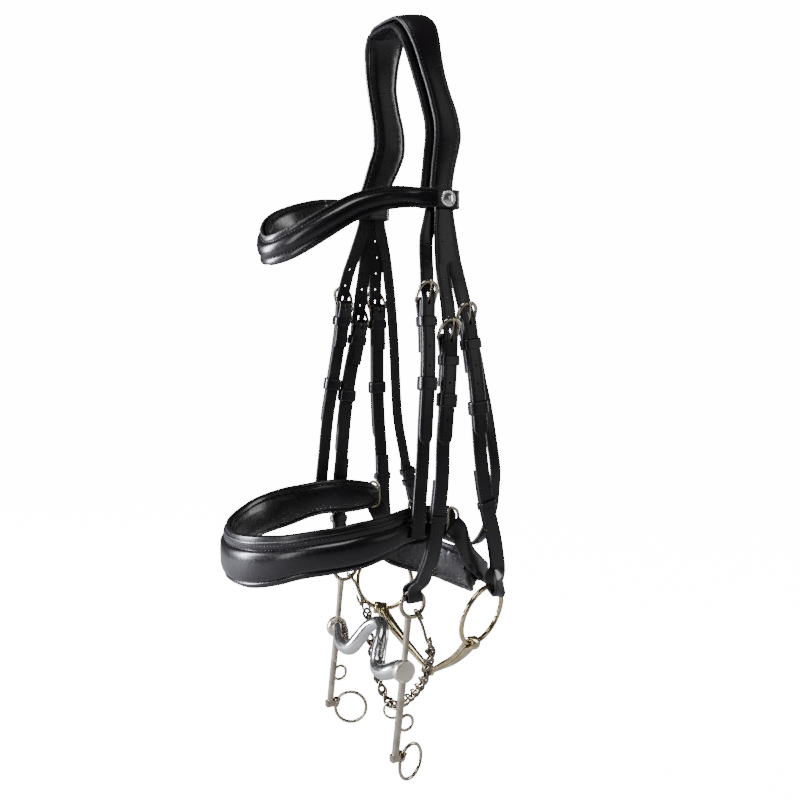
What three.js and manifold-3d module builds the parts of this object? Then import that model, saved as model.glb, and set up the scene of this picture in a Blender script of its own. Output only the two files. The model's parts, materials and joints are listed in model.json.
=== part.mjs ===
// A double (Weymouth) bridle, hanging from its poll as it does on a bridle hook.
// Units are millimetres. +Z is up, -Y is the nose side, +X is the horse's left (near) side.
// The origin is the middle of the flat underside of the padded headpiece, where it rests on the hook or poll.
import * as THREE from 'three';
import { mergeVertices } from 'three/addons/utils/BufferGeometryUtils.js';
import Module from 'manifold-3d';

const wasm = await Module();
wasm.setup();

// ---------------------------------------------------------------- driving dimensions
const LEATHER = 2.6;          // one layer of strap leather
const CHEEK_W = 14;           // width of the cheekpieces
const HANGER_W = 13;          // width of the noseband hanger
const THROAT_W = 11;          // width of the throatlatch
const LAYER = 1.6;            // half distance between the two layers of a folded strap
const BILLET = 4.8;           // distance of a buckled billet from the middle of the folded strap
const BIT_X = 66.5;           // half the width of the curb bit, at the cheeks
const EYE_Y = -25.6, EYE_Z = -510.3;   // centre of the cheekpiece eye of the curb bit
const EYE_R = 11.7, EYE_WIRE = 2.1;
const BOSS_Y = -35, BOSS_Z = -569.5, BOSS_R = 10.5;
const LIP_Y = -32.3, LIP_Z = -617.6, LIP_R = 6.9, LIP_WIRE = 1.5;
const FOOT_Z = -647.5;
const REIN_R = 15.6, REIN_WIRE = 1.7;
const BRADOON_R = 28.7, BRADOON_WIRE = 2.4;
const KEEPER_T = 1.5;

// ---------------------------------------------------------------- materials
const mat = (color, roughness, metalness) => new THREE.MeshStandardMaterial({ color, roughness, metalness });
const leather = () => mat(0x17151a, 0.42, 0);
const lining = () => mat(0x1e1c22, 0.6, 0);
const steel = () => mat(0xcfc8b8, 0.25, 1);
const bright = () => mat(0xd9dadc, 0.18, 1);

const bridle = new THREE.Group();
bridle.name = 'double_bridle';
const put = (name, geometry, material) => {
  const m = new THREE.Mesh(geometry, material);
  m.name = name;
  bridle.add(m);
  return m;
};

// ---------------------------------------------------------------- solids
const V = (a) => new THREE.Vector3(a[0], a[1], a[2]);

// closes a stack of equal rings of points into one solid; loop joins the last ring to the first
function loft(rings, loop = false) {
  const n = rings[0].length, m = rings.length, pos = [], idx = [];
  rings.forEach((r) => r.forEach((p) => pos.push(p.x, p.y, p.z)));
  const last = loop ? m : m - 1;
  for (let i = 0; i < last; i++) {
    const a = i * n, b = ((i + 1) % m) * n;
    for (let j = 0; j < n; j++) {
      const k = (j + 1) % n;
      idx.push(a + j, a + k, b + k, a + j, b + k, b + j);
    }
  }
  if (!loop) {
    for (let j = 1; j < n - 1; j++) idx.push(0, j + 1, j);
    const e = (m - 1) * n;
    for (let j = 1; j < n - 1; j++) idx.push(e, e + j, e + j + 1);
  }
  let vol = 0;
  const P = (i) => new THREE.Vector3(pos[3 * i], pos[3 * i + 1], pos[3 * i + 2]);
  for (let i = 0; i < idx.length; i += 3) vol += P(idx[i]).dot(P(idx[i + 1]).cross(P(idx[i + 2])));
  if (vol < 0) for (let i = 0; i < idx.length; i += 3) [idx[i + 1], idx[i + 2]] = [idx[i + 2], idx[i + 1]];
  const g = new THREE.BufferGeometry();
  g.setAttribute('position', new THREE.Float32BufferAttribute(pos, 3));
  g.setIndex(idx);
  return g;
}

const bare = (g) => {
  const h = g.clone();
  for (const k of Object.keys(h.attributes)) if (k !== 'position') h.deleteAttribute(k);
  return mergeVertices(h, 1e-4);
};
const solid = (g) => {
  const h = bare(g);
  return new wasm.Manifold(new wasm.Mesh({
    numProp: 3,
    vertProperties: new Float32Array(h.attributes.position.array),
    triVerts: new Uint32Array(h.index.array),
  }));
};
const back = (s) => {
  const m = s.getMesh();
  const g = new THREE.BufferGeometry();
  g.setAttribute('position', new THREE.BufferAttribute(new Float32Array(m.vertProperties), 3));
  g.setIndex(new THREE.BufferAttribute(new Uint32Array(m.triVerts), 1));
  return g;
};
const join = (...gs) => back(gs.map(solid).reduce((a, b) => a.add(b)));
const cut = (g, ...tools) => back(tools.map(solid).reduce((a, b) => a.subtract(b), solid(g)));

// a smooth line through points, sampled so that no step is much longer than the given one
function sample(points, step = 12, loop = false) {
  const c = new THREE.CatmullRomCurve3(points.map(V), loop, 'centripetal');
  c.arcLengthDivisions = 400;
  const n = Math.max(2, Math.round(c.getLength() / step));
  const out = [];
  for (let i = 0; i < (loop ? n : n + 1); i++) out.push({ p: c.getPointAt(i / n), t: c.getTangentAt(i / n), u: i / n });
  return out;
}

// a strap: section is a list of [across, out] corners; ref is the way across, out is the way the face looks
function strap(points, section, { step = 12, ref = [0, 1, 0], out = null, loop = false } = {}) {
  return loft((step ? sample(points, step, loop) : exact(points)).map(({ p, t, u }) => {
    let w, n;
    const r = V(typeof ref === 'function' ? ref(u, p) : ref);
    w = r.addScaledVector(t, -r.dot(t)).normalize();
    n = new THREE.Vector3().crossVectors(t, w).normalize();
    if (out) { const o = V(typeof out === 'function' ? out(u, p) : out); if (n.dot(o) < 0) n.negate(); }
    const s = typeof section === 'function' ? section(u, p) : section;
    return s.map(([a, b]) => p.clone().addScaledVector(w, a).addScaledVector(n, b));
  }), loop);
}
const flat = (w, t, shift = 0) => [[-w / 2, shift - t / 2], [w / 2, shift - t / 2], [w / 2, shift + t / 2], [-w / 2, shift + t / 2]];
const round = (r, n = 8) => Array.from({ length: n }, (_, i) => [r * Math.cos((2 * Math.PI * i) / n), r * Math.sin((2 * Math.PI * i) / n)]);
const wire = (points, r, opt = {}) => strap(points, typeof r === 'function' ? (u, p) => round(r(u), opt.sides || 8) : round(r, opt.sides || 8), { step: 4, ref: [1, 0.01, 0.02], ...opt });

const moved = (g, m) => g.clone().applyMatrix4(m);
const frameMatrix = (P, W, T, N) => new THREE.Matrix4().makeBasis(V(W), V(T), V(N)).setPosition(V(P));
const box = (w, h, d, x = 0, y = 0, z = 0) => new THREE.BoxGeometry(w, h, d).translate(x, y, z);

// a ring of round wire about a centre, with its own axis
function ring(centre, axis, R, r, seg = 24, sides = 8) {
  const g = new THREE.TorusGeometry(R, r, sides, seg);
  const q = new THREE.Quaternion().setFromUnitVectors(new THREE.Vector3(0, 0, 1), V(axis).normalize());
  return moved(bare(g), new THREE.Matrix4().compose(V(centre), q, new THREE.Vector3(1, 1, 1)));
}

// the same points, taken one by one
function exact(points) {
  const p = points.map(V);
  return p.map((q, i) => ({ p: q, t: p[Math.min(p.length - 1, i + 1)].clone().sub(p[Math.max(0, i - 1)]).normalize(), u: i / (p.length - 1) }));
}

// ---------------------------------------------------------------- strap lines
// middle lines of the hanging straps, near side then far side, from the headpiece down
const HANG = {
  near: {
    hanger: [[60.6, 1.5, -142], [61.4, -1.5, -152], [62.7, -5, -168], [66.4, -12.8, -192], [71.6, -17.4, -218], [77.8, -21, -244], [83, -22.5, -286], [85, -24.5, -315], [86.2, -27, -345], [87, -29, -379], [87, -31, -405], [87.8, -33, -424], [87.8, -34.5, -448]],
    curb: [[66.2, 2.4, -150], [67.2, 2.4, -168], [69.5, 0.6, -183], [74, -1.1, -211], [78.7, -0.9, -243.5], [81.5, -1.2, -268], [83.5, -1.6, -295], [85.8, -5.5, -333], [86.5, -8.3, -363], [86.6, -9.4, -398], [85.8, -12.9, -433], [84.6, -15.3, -456], [79.8, -17, -473], [72, -19.8, -489]],
    bradoon: [[66.2, 6.8, -150], [67.2, 7.4, -168], [69.5, 8.6, -183], [74, 11.3, -211], [78.7, 15, -243], [80.6, 18.7, -262], [83, 22.5, -287], [85, 25.7, -317], [86, 27.6, -341], [86.8, 30.2, -375], [86, 35.4, -406.5], [84.6, 42.1, -433], [82, 49.7, -454], [77.5, 57, -476], [74.2, 60.6, -487]],
  },
  far: {
    hanger: [[-60.6, 1.5, -142], [-61.4, -1.5, -152], [-63.4, -4.5, -170], [-68.3, -12, -198], [-75.5, -17, -227], [-79.5, -19, -251], [-82.5, -21.3, -281], [-85.1, -27.2, -321.5], [-86.5, -33.6, -361], [-87.8, -37, -395], [-90, -39.5, -425], [-90.4, -41.5, -449]],
    curb: [[-66.2, 2.4, -150], [-67.2, 2.4, -162], [-69, 2.4, -177], [-73, 2.2, -204], [-77.2, 1.6, -231], [-80.5, 0.5, -261], [-82.5, -1.5, -281.5], [-85.2, -8.9, -322], [-86.5, -14.1, -362], [-87, -17.3, -396], [-87.4, -20.5, -426], [-86.6, -22.6, -456], [-80.6, -24.2, -474], [-72, -24.8, -489]],
    bradoon: [[-66.2, 6.8, -150], [-67.2, 8.4, -162], [-69.2, 11.3, -182], [-72.8, 15.3, -203], [-77, 17.4, -227], [-80.3, 20.4, -255], [-83.4, 22.4, -292], [-85.9, 23.9, -333.6], [-86.6, 25.4, -364], [-86.8, 27.4, -389], [-86, 28.4, -423], [-85, 28.6, -449], [-81, 28.6, -472], [-77, 28.6, -486]],
  },
};
// the throatlatch: near strap down from the headpiece, under the jaw and up to its buckle on the far side
const THROAT_NEAR = [[57.3, 9.6, -150], [58.4, 9.6, -167], [62.5, 13, -191], [68.4, 17.4, -226], [73.6, 24, -258], [77.6, 31.5, -287], [79.4, 37.4, -317], [80.2, 42, -336], [82.4, 46.6, -367], [82.6, 51, -396], [79.6, 52.4, -414], [77.4, 52, -430], [71.5, 50, -449], [60, 49, -464], [36, 51.5, -473], [8, 55.5, -475.5], [-24, 59.5, -476], [-50, 63.5, -474.5], [-68, 67, -471], [-76, 68.5, -464.5]];
const THROAT_FAR = [[-76.8, 68.4, -465], [-79.2, 66, -455], [-80.4, 62.5, -442], [-81, 57.5, -424], [-81, 52, -400], [-80.6, 45, -365], [-79, 41, -323], [-76, 37.8, -292], [-71.6, 31.2, -241], [-66, 22, -196], [-59, 12, -167], [-57.3, 11.2, -150]];
// the rear of the noseband: the strap that draws it closed behind the jaw
const CRANK = [[74.2, 9, -450], [74.8, 17, -459], [70.5, 29, -474], [62.5, 46, -489], [50, 60.5, -499.5], [27, 71.4, -505], [0, 73, -506], [-28, 67, -504], [-51, 48.3, -499], [-62.7, 29.6, -490], [-69.8, 16.8, -474], [-73, 10, -462]];

const BUCKLES = {
  near: { hanger: { bar: -246, tip: -360, back: -288, key: -262, slide: -314 }, curb: { bar: -277, tip: -362, back: -318, key: -295, slide: -329 }, bradoon: { bar: -263, tip: -357, back: -306, key: -281.5, slide: -337 } },
  far: { hanger: { bar: -247, tip: -362, back: -288, key: -262.5, slide: -326 }, curb: { bar: -266, tip: -394, back: -306, key: -282, slide: -338 }, bradoon: { bar: -250, tip: -380, back: -292, key: -266, slide: -331 } },
};
const WIDTH = { hanger: HANGER_W, curb: CHEEK_W, bradoon: CHEEK_W };

// a line that a strap follows; key is the measure that falls along it, and out is the way its face looks
const lineOf = (pts, key, out, ref) => ({ pts, key, out: V(out), ref: V(ref), curve: new THREE.CatmullRomCurve3(pts.map(V), false, 'centripetal') });
const L = { near: {}, far: {} };
for (const k of ['hanger', 'curb', 'bradoon']) {
  L.near[k] = lineOf(HANG.near[k], (p) => p.z, [1, 0, 0], [0, 1, 0]);
  L.far[k] = lineOf(HANG.far[k], (p) => p.z, [-1, 0, 0], [0, 1, 0]);
}
// the frame of a line at one value of its key: point p, across w, t towards the buckled end, n out
function at(line, s) {
  let lo = 0, hi = 1;
  for (let i = 0; i < 40; i++) { const m = (lo + hi) / 2; if (line.key(line.curve.getPoint(m)) > s) lo = m; else hi = m; }
  const p = line.curve.getPoint(lo), t = line.curve.getTangent(lo).negate();
  const w = line.ref.clone(); w.addScaledVector(t, -w.dot(t)).normalize();
  let n = new THREE.Vector3().crossVectors(w, t).normalize();
  if (n.dot(line.out) < 0) { n.negate(); w.negate(); }
  return { p, w, t, n };
}
const spot = (f, u, v, n) => f.p.clone().addScaledVector(f.w, u).addScaledVector(f.t, v).addScaledVector(f.n, n).toArray();
const off = (line, s, n, v = 0) => spot(at(line, s), 0, v, n);
const between = (line, s0, s1, n, step = 14) => {
  const out = [], k = Math.max(1, Math.round(Math.abs(s1 - s0) / step));
  for (let i = 0; i <= k; i++) out.push(off(line, s0 + ((s1 - s0) * i) / k, n));
  return out;
};
const matrixOf = (f) => new THREE.Matrix4().makeBasis(f.w, f.t, f.n).setPosition(f.p);

// ---------------------------------------------------------------- buckles, keepers, folds
function foldTop(line, bar, backTo) {
  const f = at(line, bar), P = (v, n) => spot(f, 0, v, n);
  return [...between(line, backTo, bar - 14, -LAYER), P(-7, -2.6), P(0, -3.5), P(2.9, -2.5), P(4, 0), P(2.9, 2.5), P(0, 3.5), P(-7, 2.5), off(line, bar - 14, LAYER)];
}
function keeper(line, s, width, height, inner, outer) {
  const hw = width / 2, T = KEEPER_T;
  const corners = (e) => [[-hw - e, inner - e], [hw + e, inner - e], [hw + e, outer + e], [-hw - e, outer + e]].map((q) => new THREE.Vector2(...q));
  const shape = new THREE.Shape(corners(T));
  shape.holes.push(new THREE.Path(corners(0).reverse()));
  const g = new THREE.ExtrudeGeometry(shape, { depth: height, bevelEnabled: false }).translate(0, 0, -height / 2);
  // the opening of the loop runs along the strap
  const turn = new THREE.Matrix4().makeBasis(new THREE.Vector3(1, 0, 0), new THREE.Vector3(0, 0, 1), new THREE.Vector3(0, -1, 0));
  return moved(moved(bare(g), turn), matrixOf(at(line, s)));
}
function buckleFrame(line, bar, width) {
  const f = at(line, bar), P = (u, v, n) => spot(f, u, v, n), h = width / 2 + 2.6;
  const pts = [P(-h + 1, 0, 0), P(-h * 0.4, 0, 0), P(h * 0.4, 0, 0), P(h - 1, 0, 0), P(h, 1.2, 0.5), P(h, 6, 3.8), P(h - 1.3, 12, 7.8), P(h * 0.5, 15.4, 9), P(0, 16.2, 9.2), P(-h * 0.5, 15.4, 9), P(-h + 1.3, 12, 7.8), P(-h, 6, 3.8), P(-h, 1.2, 0.5)];
  return strap(pts, round(1.3, 5), { step: 5.4, loop: true, ref: f.n.clone().addScaledVector(f.t, -0.3).toArray() });
}
function buckleTongue(line, bar) {
  const f = at(line, bar), P = (v, n) => spot(f, 0, v, n);
  return strap([P(1.9, -1.9), P(-0.2, -2.7), P(-2.3, -1.4), P(-2.7, 1.2), P(-1.4, 3.6), P(2, 6.4), P(7, 9.6), P(12, 11.4), P(17.6, 11.9)], round(1.0, 4), { step: 3.4, ref: f.w.toArray() });
}
const tongueSlot = (line, bar, v0, v1) => moved(bare(box(3.6, v1 - v0, 24, 0, (v0 + v1) / 2, 0)), matrixOf(at(line, bar)));
const punch = (line, s, r = 1.6) => moved(bare(new THREE.CylinderGeometry(r, r, 24, 6).rotateX(Math.PI / 2)), matrixOf(at(line, s)));

// how far out a billet lies along its line: under the frame, over the bar, then on the folded strap
const ease = (z, a, b) => { const s = Math.min(1, Math.max(0, (z - a) / (b - a))); return s * s * (3 - 2 * s); };
const billetOffset = (bar) => (s) => {
  const v = s - bar;
  if (v > 60) return 0;
  if (v > 16) return 4.4 * (1 - ease(v, 16, 60));
  if (v > 2) return 4.4 + 2 * (1 - ease(v, 2, 16));
  if (v > -16) return 6.4 - 1.6 * (1 - ease(v, -16, 2));
  return BILLET;
};
function billetPoints(line, s0, tip, nOff, bar) {
  const at0 = [];
  for (let v = s0; v > bar + 22; v -= 13) at0.push(v);
  at0.push(bar + 16, bar + 9, bar + 2, bar - 7, bar - 16);
  for (let v = bar - 30; v > tip + 5; v -= 14) at0.push(v);
  at0.push(tip);
  return [...at0.map((v) => off(line, v, nOff(v))), off(line, tip, nOff(tip), -5)];
}
const pointed = (width, t, both = false) => (u) => flat(u > 0.99 || (both && u < 0.01) ? width * 0.45 : width, t);

// ---------------------------------------------------------------- headpiece
// arch of the headpiece: [x, z, front edge, rear edge] of the outer leather, from the near side to the top
const ARCH = [[64.2, -153, -9, 14.5], [61.8, -140, -6, 17], [59, -126, -3, 21.5], [56, -112, 0.5, 27], [53.5, -100, 3, 30.5], [51.5, -88, 3.5, 30], [49.8, -76, 1.5, 27.5], [48, -62, -1.5, 22.5], [45.5, -44, -6.5, 18], [42, -26, -10.5, 16.5], [37, -11, -14, 17], [30.5, 0, -16.5, 17], [23, 6.6, -18, 14], [17, 8.2, -18.5, 12.5]];
const archRow = (() => {
  const all = ARCH.concat(ARCH.slice().reverse().map(([x, z, f, r]) => [-x, z, f, r]));
  return all.map(([x, z, f, r], i) => {
    const a = all[Math.max(0, i - 1)], b = all[Math.min(all.length - 1, i + 1)];
    const l = Math.hypot(b[0] - a[0], b[1] - a[1]);
    // flat over the poll: the two middle rows stand square
    if (Math.abs(x) <= 17) return { x, z, f, r, nx: 0, nz: 1 };
    return { x, z, f, r, nx: (b[1] - a[1]) / l, nz: -(b[0] - a[0]) / l };
  });
})();
// section: corners [y, out] for one place on the arch
const archLoft = (rows, section) => loft(rows.map((q) => section(q).map(([y, n]) => new THREE.Vector3(q.x + q.nx * n, y, q.z + q.nz * n))));
const OUTER_IN = 0.4, OUTER_OUT = 3.4, SLIP = -1.1, SLIP_T = 2.2, PAD_OUT = -2.6, PAD_IN = -8.2;
const headParts = [archLoft(archRow, ({ f, r }) => [[f, OUTER_OUT - 1], [f, OUTER_IN], [r, OUTER_IN], [r, OUTER_OUT - 1], [r - 6, OUTER_OUT], [f + 6, OUTER_OUT]])];
const headCuts = [];
for (const S of ['near', 'far']) {
  for (const k of ['curb', 'bradoon']) {
    const line = L[S][k], B = BUCKLES[S][k];
    headParts.push(strap(billetPoints(line, -150.4, B.tip, billetOffset(B.bar), B.bar), pointed(WIDTH[k], LEATHER), { step: 0 }));
    headCuts.push(tongueSlot(line, B.bar, -3, 9));
  }
}
put('headpiece', back(headCuts.map(solid).reduce((a, b) => a.subtract(b), headParts.map(solid).reduce((a, b) => a.add(b)))), leather());
put('headpiece_padding', archLoft(archRow.slice(2, -2), ({ f, r }) => [[f - 6.5, PAD_OUT - 1.6], [f - 6.5, PAD_IN + 1.6], [f - 4, PAD_IN], [r, PAD_IN], [r + 2.5, PAD_IN + 1.6], [r + 2.5, PAD_OUT - 1.6], [r, PAD_OUT], [f - 4, PAD_OUT]]), lining());

// the noseband's own strap over the poll, between the outer leather and the padding
{
  const cuts = [], h = HANGER_W / 2, t = SLIP_T / 2;
  const ringOf = (p, w, n, k = 1) => [[-h * k, -t], [h * k, -t], [h * k, t], [-h * k, t]].map(([a, b]) => p.clone().addScaledVector(w, a).addScaledVector(n, b));
  const side = (S) => {
    const line = L[S].hanger, B = BUCKLES[S].hanger, nOff = billetOffset(B.bar), rings = [];
    cuts.push(tongueSlot(line, B.bar, -3, 9));
    const add = (v, k = 1, extra = 0) => { const f = at(line, v); if (f.w.y < 0) f.w.negate(); rings.push(ringOf(f.p.addScaledVector(f.n, nOff(v)).addScaledVector(f.t, extra), f.w, f.n, k)); };
    for (let v = -152; v > B.bar + 20; v -= 13) add(v);
    for (const d of [16, 9, 2, -7, -16, -30]) add(B.bar + d);
    for (let v = B.bar - 44; v > B.tip + 6; v -= 14) add(v);
    add(B.tip); add(B.tip, 0.45, -5);
    return rings;
  };
  const arch = archRow.slice(2, -2).map((q, i, a) => {
    const mid = (q.f + q.r) / 2, e = Math.min(1, Math.min(i, a.length - 1 - i) / 4), y = (q.f + 9) * (1 - e) + mid * e;
    return ringOf(new THREE.Vector3(q.x + q.nx * SLIP, y, q.z + q.nz * SLIP), new THREE.Vector3(0, 1, 0), new THREE.Vector3(q.nx, 0, q.nz));
  });
  put('noseband_headstrap', cut(loft([...side('near').reverse(), ...arch, ...side('far')]), ...cuts), leather());
}

// ---------------------------------------------------------------- cheekpieces and noseband hangers
// a cheekpiece: folded round its buckle at the top and round the bit at the bottom
function cheekpiece(S, k, X, Y, Z, r, drop, returnTo, lowKeeper, lean = 0, along = [0, 1, 0]) {
  const line = L[S][k], B = BUCKLES[S][k], s = S === 'near' ? 1 : -1;
  const zs = line.pts[line.pts.length - 1][2];
  const R = (dx, dz, dy = 0) => [X + s * dx, Y + dy + lean * dz, Z + dz];
  const bottom = [R(r, 7), R(r, 0), R(r * 0.86, -drop * 0.6), R(r * 0.42, -drop * 0.95), R(-r * 0.42, -drop * 0.95), R(-r * 0.86, -drop * 0.6), R(-r, 0), R(-r, 7)];
  const pts = [...foldTop(line, B.bar, B.back), ...between(line, B.bar - 26, zs + 6, LAYER), off(line, zs, LAYER + 0.6), ...bottom, off(line, zs, -LAYER - 0.6), ...between(line, zs + 6, returnTo, -LAYER)];
  const turn = (u, p) => { const e = Math.min(1, Math.max(0, (Z + 17 - p.z) / 9)); return [along[0] * e, along[1] * e + 1 - e, along[2] * e]; };
  const body = strap(pts, flat(WIDTH[k], LEATHER), { step: 0, ref: turn });
  const loops = [keeper(line, B.key, WIDTH[k] + 1, 9, -2.3, 6.7)];
  if (lowKeeper) loops.push(keeper(line, lowKeeper, WIDTH[k] + 1, 7, -2.3, 3.5));
  return cut(join(body, ...loops), tongueSlot(line, B.bar, -4.6, 5.6));
}
put('curb_cheekpiece_near', cheekpiece('near', 'curb', BIT_X, EYE_Y + 0.6, -503.8, 4.3, 4.4, -398, -432, -0.16), leather());
put('curb_cheekpiece_far', cheekpiece('far', 'curb', -BIT_X, EYE_Y + 0.6, -503.8, 4.3, 4.4, -402, -463, -0.04), leather());
const BR = {
  near: { c: [72, 45, -530], axis: [0.92, 0.3, -0.25] },
  far: { c: [-74, 24, -532], axis: [-0.92, 0.3, -0.25] },
};
for (const S of ['near', 'far']) {
  const a = V(BR[S].axis).normalize();
  // lowest point of the ring, where the mouthpiece hangs, and the point in the strap's fold
  BR[S].a = a;
  const down = new THREE.Vector3(0, 0, -1).addScaledVector(a, a.z).normalize();
  const rear = new THREE.Vector3().crossVectors(a, down).normalize();
  if (rear.y < 0) rear.negate();
  BR[S].wire = (deg) => down.clone().multiplyScalar(-Math.sin(deg * Math.PI / 180)).addScaledVector(rear, Math.cos(deg * Math.PI / 180)).negate().toArray();
  BR[S].at = (deg) => V(BR[S].c).addScaledVector(down, BRADOON_R * Math.cos(deg * Math.PI / 180)).addScaledVector(rear, BRADOON_R * Math.sin(deg * Math.PI / 180));
}
const topNear = BR.near.at(158), topFar = BR.far.at(172);
put('bradoon_cheekpiece_near', cheekpiece('near', 'bradoon', topNear.x, topNear.y, topNear.z, 7, 8.6, -392, -424, -0.15, BR.near.wire(158)), leather());
put('bradoon_cheekpiece_far', cheekpiece('far', 'bradoon', topFar.x, topFar.y, topFar.z, 6, 6.2, -402, -424, 0, BR.far.wire(172)), leather());
for (const S of ['near', 'far']) {
  const line = L[S].hanger, B = BUCKLES[S].hanger;
  const pts = [...foldTop(line, B.bar, B.back), ...between(line, B.bar - 26, -446, LAYER)];
  put('noseband_hanger_' + S, cut(join(strap(pts, flat(HANGER_W, LEATHER), { step: 0 }), keeper(line, B.key, HANGER_W + 1, 9, -2.3, 6.7)), tongueSlot(line, B.bar, -4.6, 5.6)), leather());
}
for (const S of ['near', 'far']) {
  for (const k of ['hanger', 'curb', 'bradoon']) {
    const line = L[S][k], B = BUCKLES[S][k], n = k === 'hanger' ? 'noseband' : k;
    put(`${n}_buckle_${S}`, buckleFrame(line, B.bar, WIDTH[k]), steel());
    put(`${n}_buckle_tongue_${S}`, buckleTongue(line, B.bar), steel());
    put(`${n}_keeper_${S}`, keeper(line, B.slide, WIDTH[k] + 1.2, 12, -0.4, 6.8), leather());
  }
}

// ---------------------------------------------------------------- throatlatch
{
  const line = lineOf(THROAT_FAR, (p) => -p.z, [-1, 0, 0], [0, 1, 0]);
  const bar = 450, tip = 408;
  const pts = [...foldTop(line, bar, bar - 34), ...between(line, bar - 26, 151, LAYER, 16)];
  put('throatlatch_far', cut(join(strap(pts, flat(THROAT_W, LEATHER), { step: 0 }), keeper(line, bar - 18, THROAT_W + 1, 7, -2.3, 6.7)), tongueSlot(line, bar, -4.6, 5.6)), leather());
  put('throatlatch_buckle', buckleFrame(line, bar, THROAT_W), steel());
  put('throatlatch_buckle_tongue', buckleTongue(line, bar), steel());
  put('throatlatch_keeper', keeper(line, bar - 29, THROAT_W + 1.2, 7, -3.5, 6.8), leather());
  const near = strap([...THROAT_NEAR.slice(0, -1), ...[462, 457, 451, 444, 436].map((v) => off(line, v, v > 460 ? 4.8 : v > 455 ? 5.6 : v > 448 ? 6.7 : v > 440 ? 6 : BILLET)), ...[424, 414].map((v) => off(line, v, BILLET)), off(line, 414, BILLET, -6)], pointed(THROAT_W, LEATHER), { step: 0 });
  put('throatlatch_near', cut(near, tongueSlot(line, bar, -3, 9)), leather());
}

// ---------------------------------------------------------------- browband
// [x, y, middle height, height of the band] from the near loop to the front, then the far loop
const BROW = [[70.9, 12, -156.6, 16], [71, 4, -156.6, 16], [70.6, -6, -156.5, 16], [65, -18, -156.3, 17], [58.6, -31, -156, 18.5], [56.8, -41, -157, 19.5], [56, -50, -158.5, 20], [53, -70, -164.5, 21.5], [48, -90, -175.4, 22.5], [39, -108, -187, 23.5], [27, -122, -196, 24.5], [13, -131, -201, 24.5], [0, -134, -201, 24.5], [-13, -131, -194.5, 24.5], [-27, -122, -185.5, 24.5], [-39, -108, -176, 23.5], [-48, -90, -168, 22.5], [-53, -70, -161.5, 21.5], [-56, -50, -157, 20], [-58.6, -31, -155.5, 18.5], [-65, -18, -155.5, 17], [-70.6, -6, -155.5, 16], [-71, 4, -155.6, 16], [-70.9, 12, -155.6, 16]];
{
  const curl = (s, z) => [[58, -15, z], [56, -9, z], [54.6, -3, z], [54.4, 8, z], [54.6, 15.4, z], [57, 19, z], [61, 20, z], [66, 19.6, z], [70, 17.2, z]].map(([x, y, zz]) => [s * x, y, zz]);
  const pts = [...curl(1, -156.6), ...BROW.map(([x, y, z]) => [x, y, z]), ...curl(-1, -155.6).reverse()];
  const hAt = (p) => { let best = 16, d = 1e9; for (const [x, y, z, h] of BROW) { const q = Math.hypot(p.x - x, p.y - y); if (q < d) { d = q; best = h; } } return p.y > -4 ? 16 : best; };
  const bulge = (p) => Math.min(1, Math.max(0, (-p.y - 12) / 25));
  put('browband', strap(pts, (u, p) => { const h = hAt(p) / 2, b = bulge(p), inner = p.y > -18 && Math.abs(p.x) < 62.5; const k = inner ? 0 : b * 2.6; return [[-h, -1.3], [h, -1.3], [h, 1.3], [h * 0.6, 1.5 + k * 0.4], [h * 0.25, 1.6 + k], [-h * 0.25, 1.6 + k], [-h * 0.6, 1.5 + k * 0.4], [-h, 1.3]]; }, { step: 0, ref: [0, 0, 1], out: (u, p) => (Math.abs(p.x) < 59 && p.y > -18 && p.y < 16.5 ? [-p.x, 0, 0] : p.y > 16.5 ? [0, 1, 0] : [p.x, p.y - 12, 0]) }), leather());
  const inner = BROW.slice(5, -5);
  put('browband_padding', strap(inner.map(([x, y, z]) => [x, y, z]), (u, p) => { const h = hAt(p) / 2 - 0.6; return [[-h, -4.2], [-h, -5.6], [-h + 2.4, -7.2], [h - 2.4, -7.2], [h, -5.6], [h, -4.2], [h - 2, -3.1], [-h + 2, -3.1]]; }, { step: 0, ref: [0, 0, 1], out: (u, p) => [p.x, p.y - 12, 0] }), lining());
  for (const s of [1, -1]) {
    const g = new THREE.LatheGeometry([[0, 0], [6.9, 0], [6.9, 1.2], [5.2, 2.2], [0, 2.6]].map((q) => new THREE.Vector2(...q)), 14);
    put('rosette_' + (s > 0 ? 'near' : 'far'), moved(bare(g.rotateZ(-Math.PI / 2 * s)), new THREE.Matrix4().makeTranslation(s * 72.7, 5.5, s > 0 ? -156.8 : -155.8)), bright());
  }
}

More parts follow.
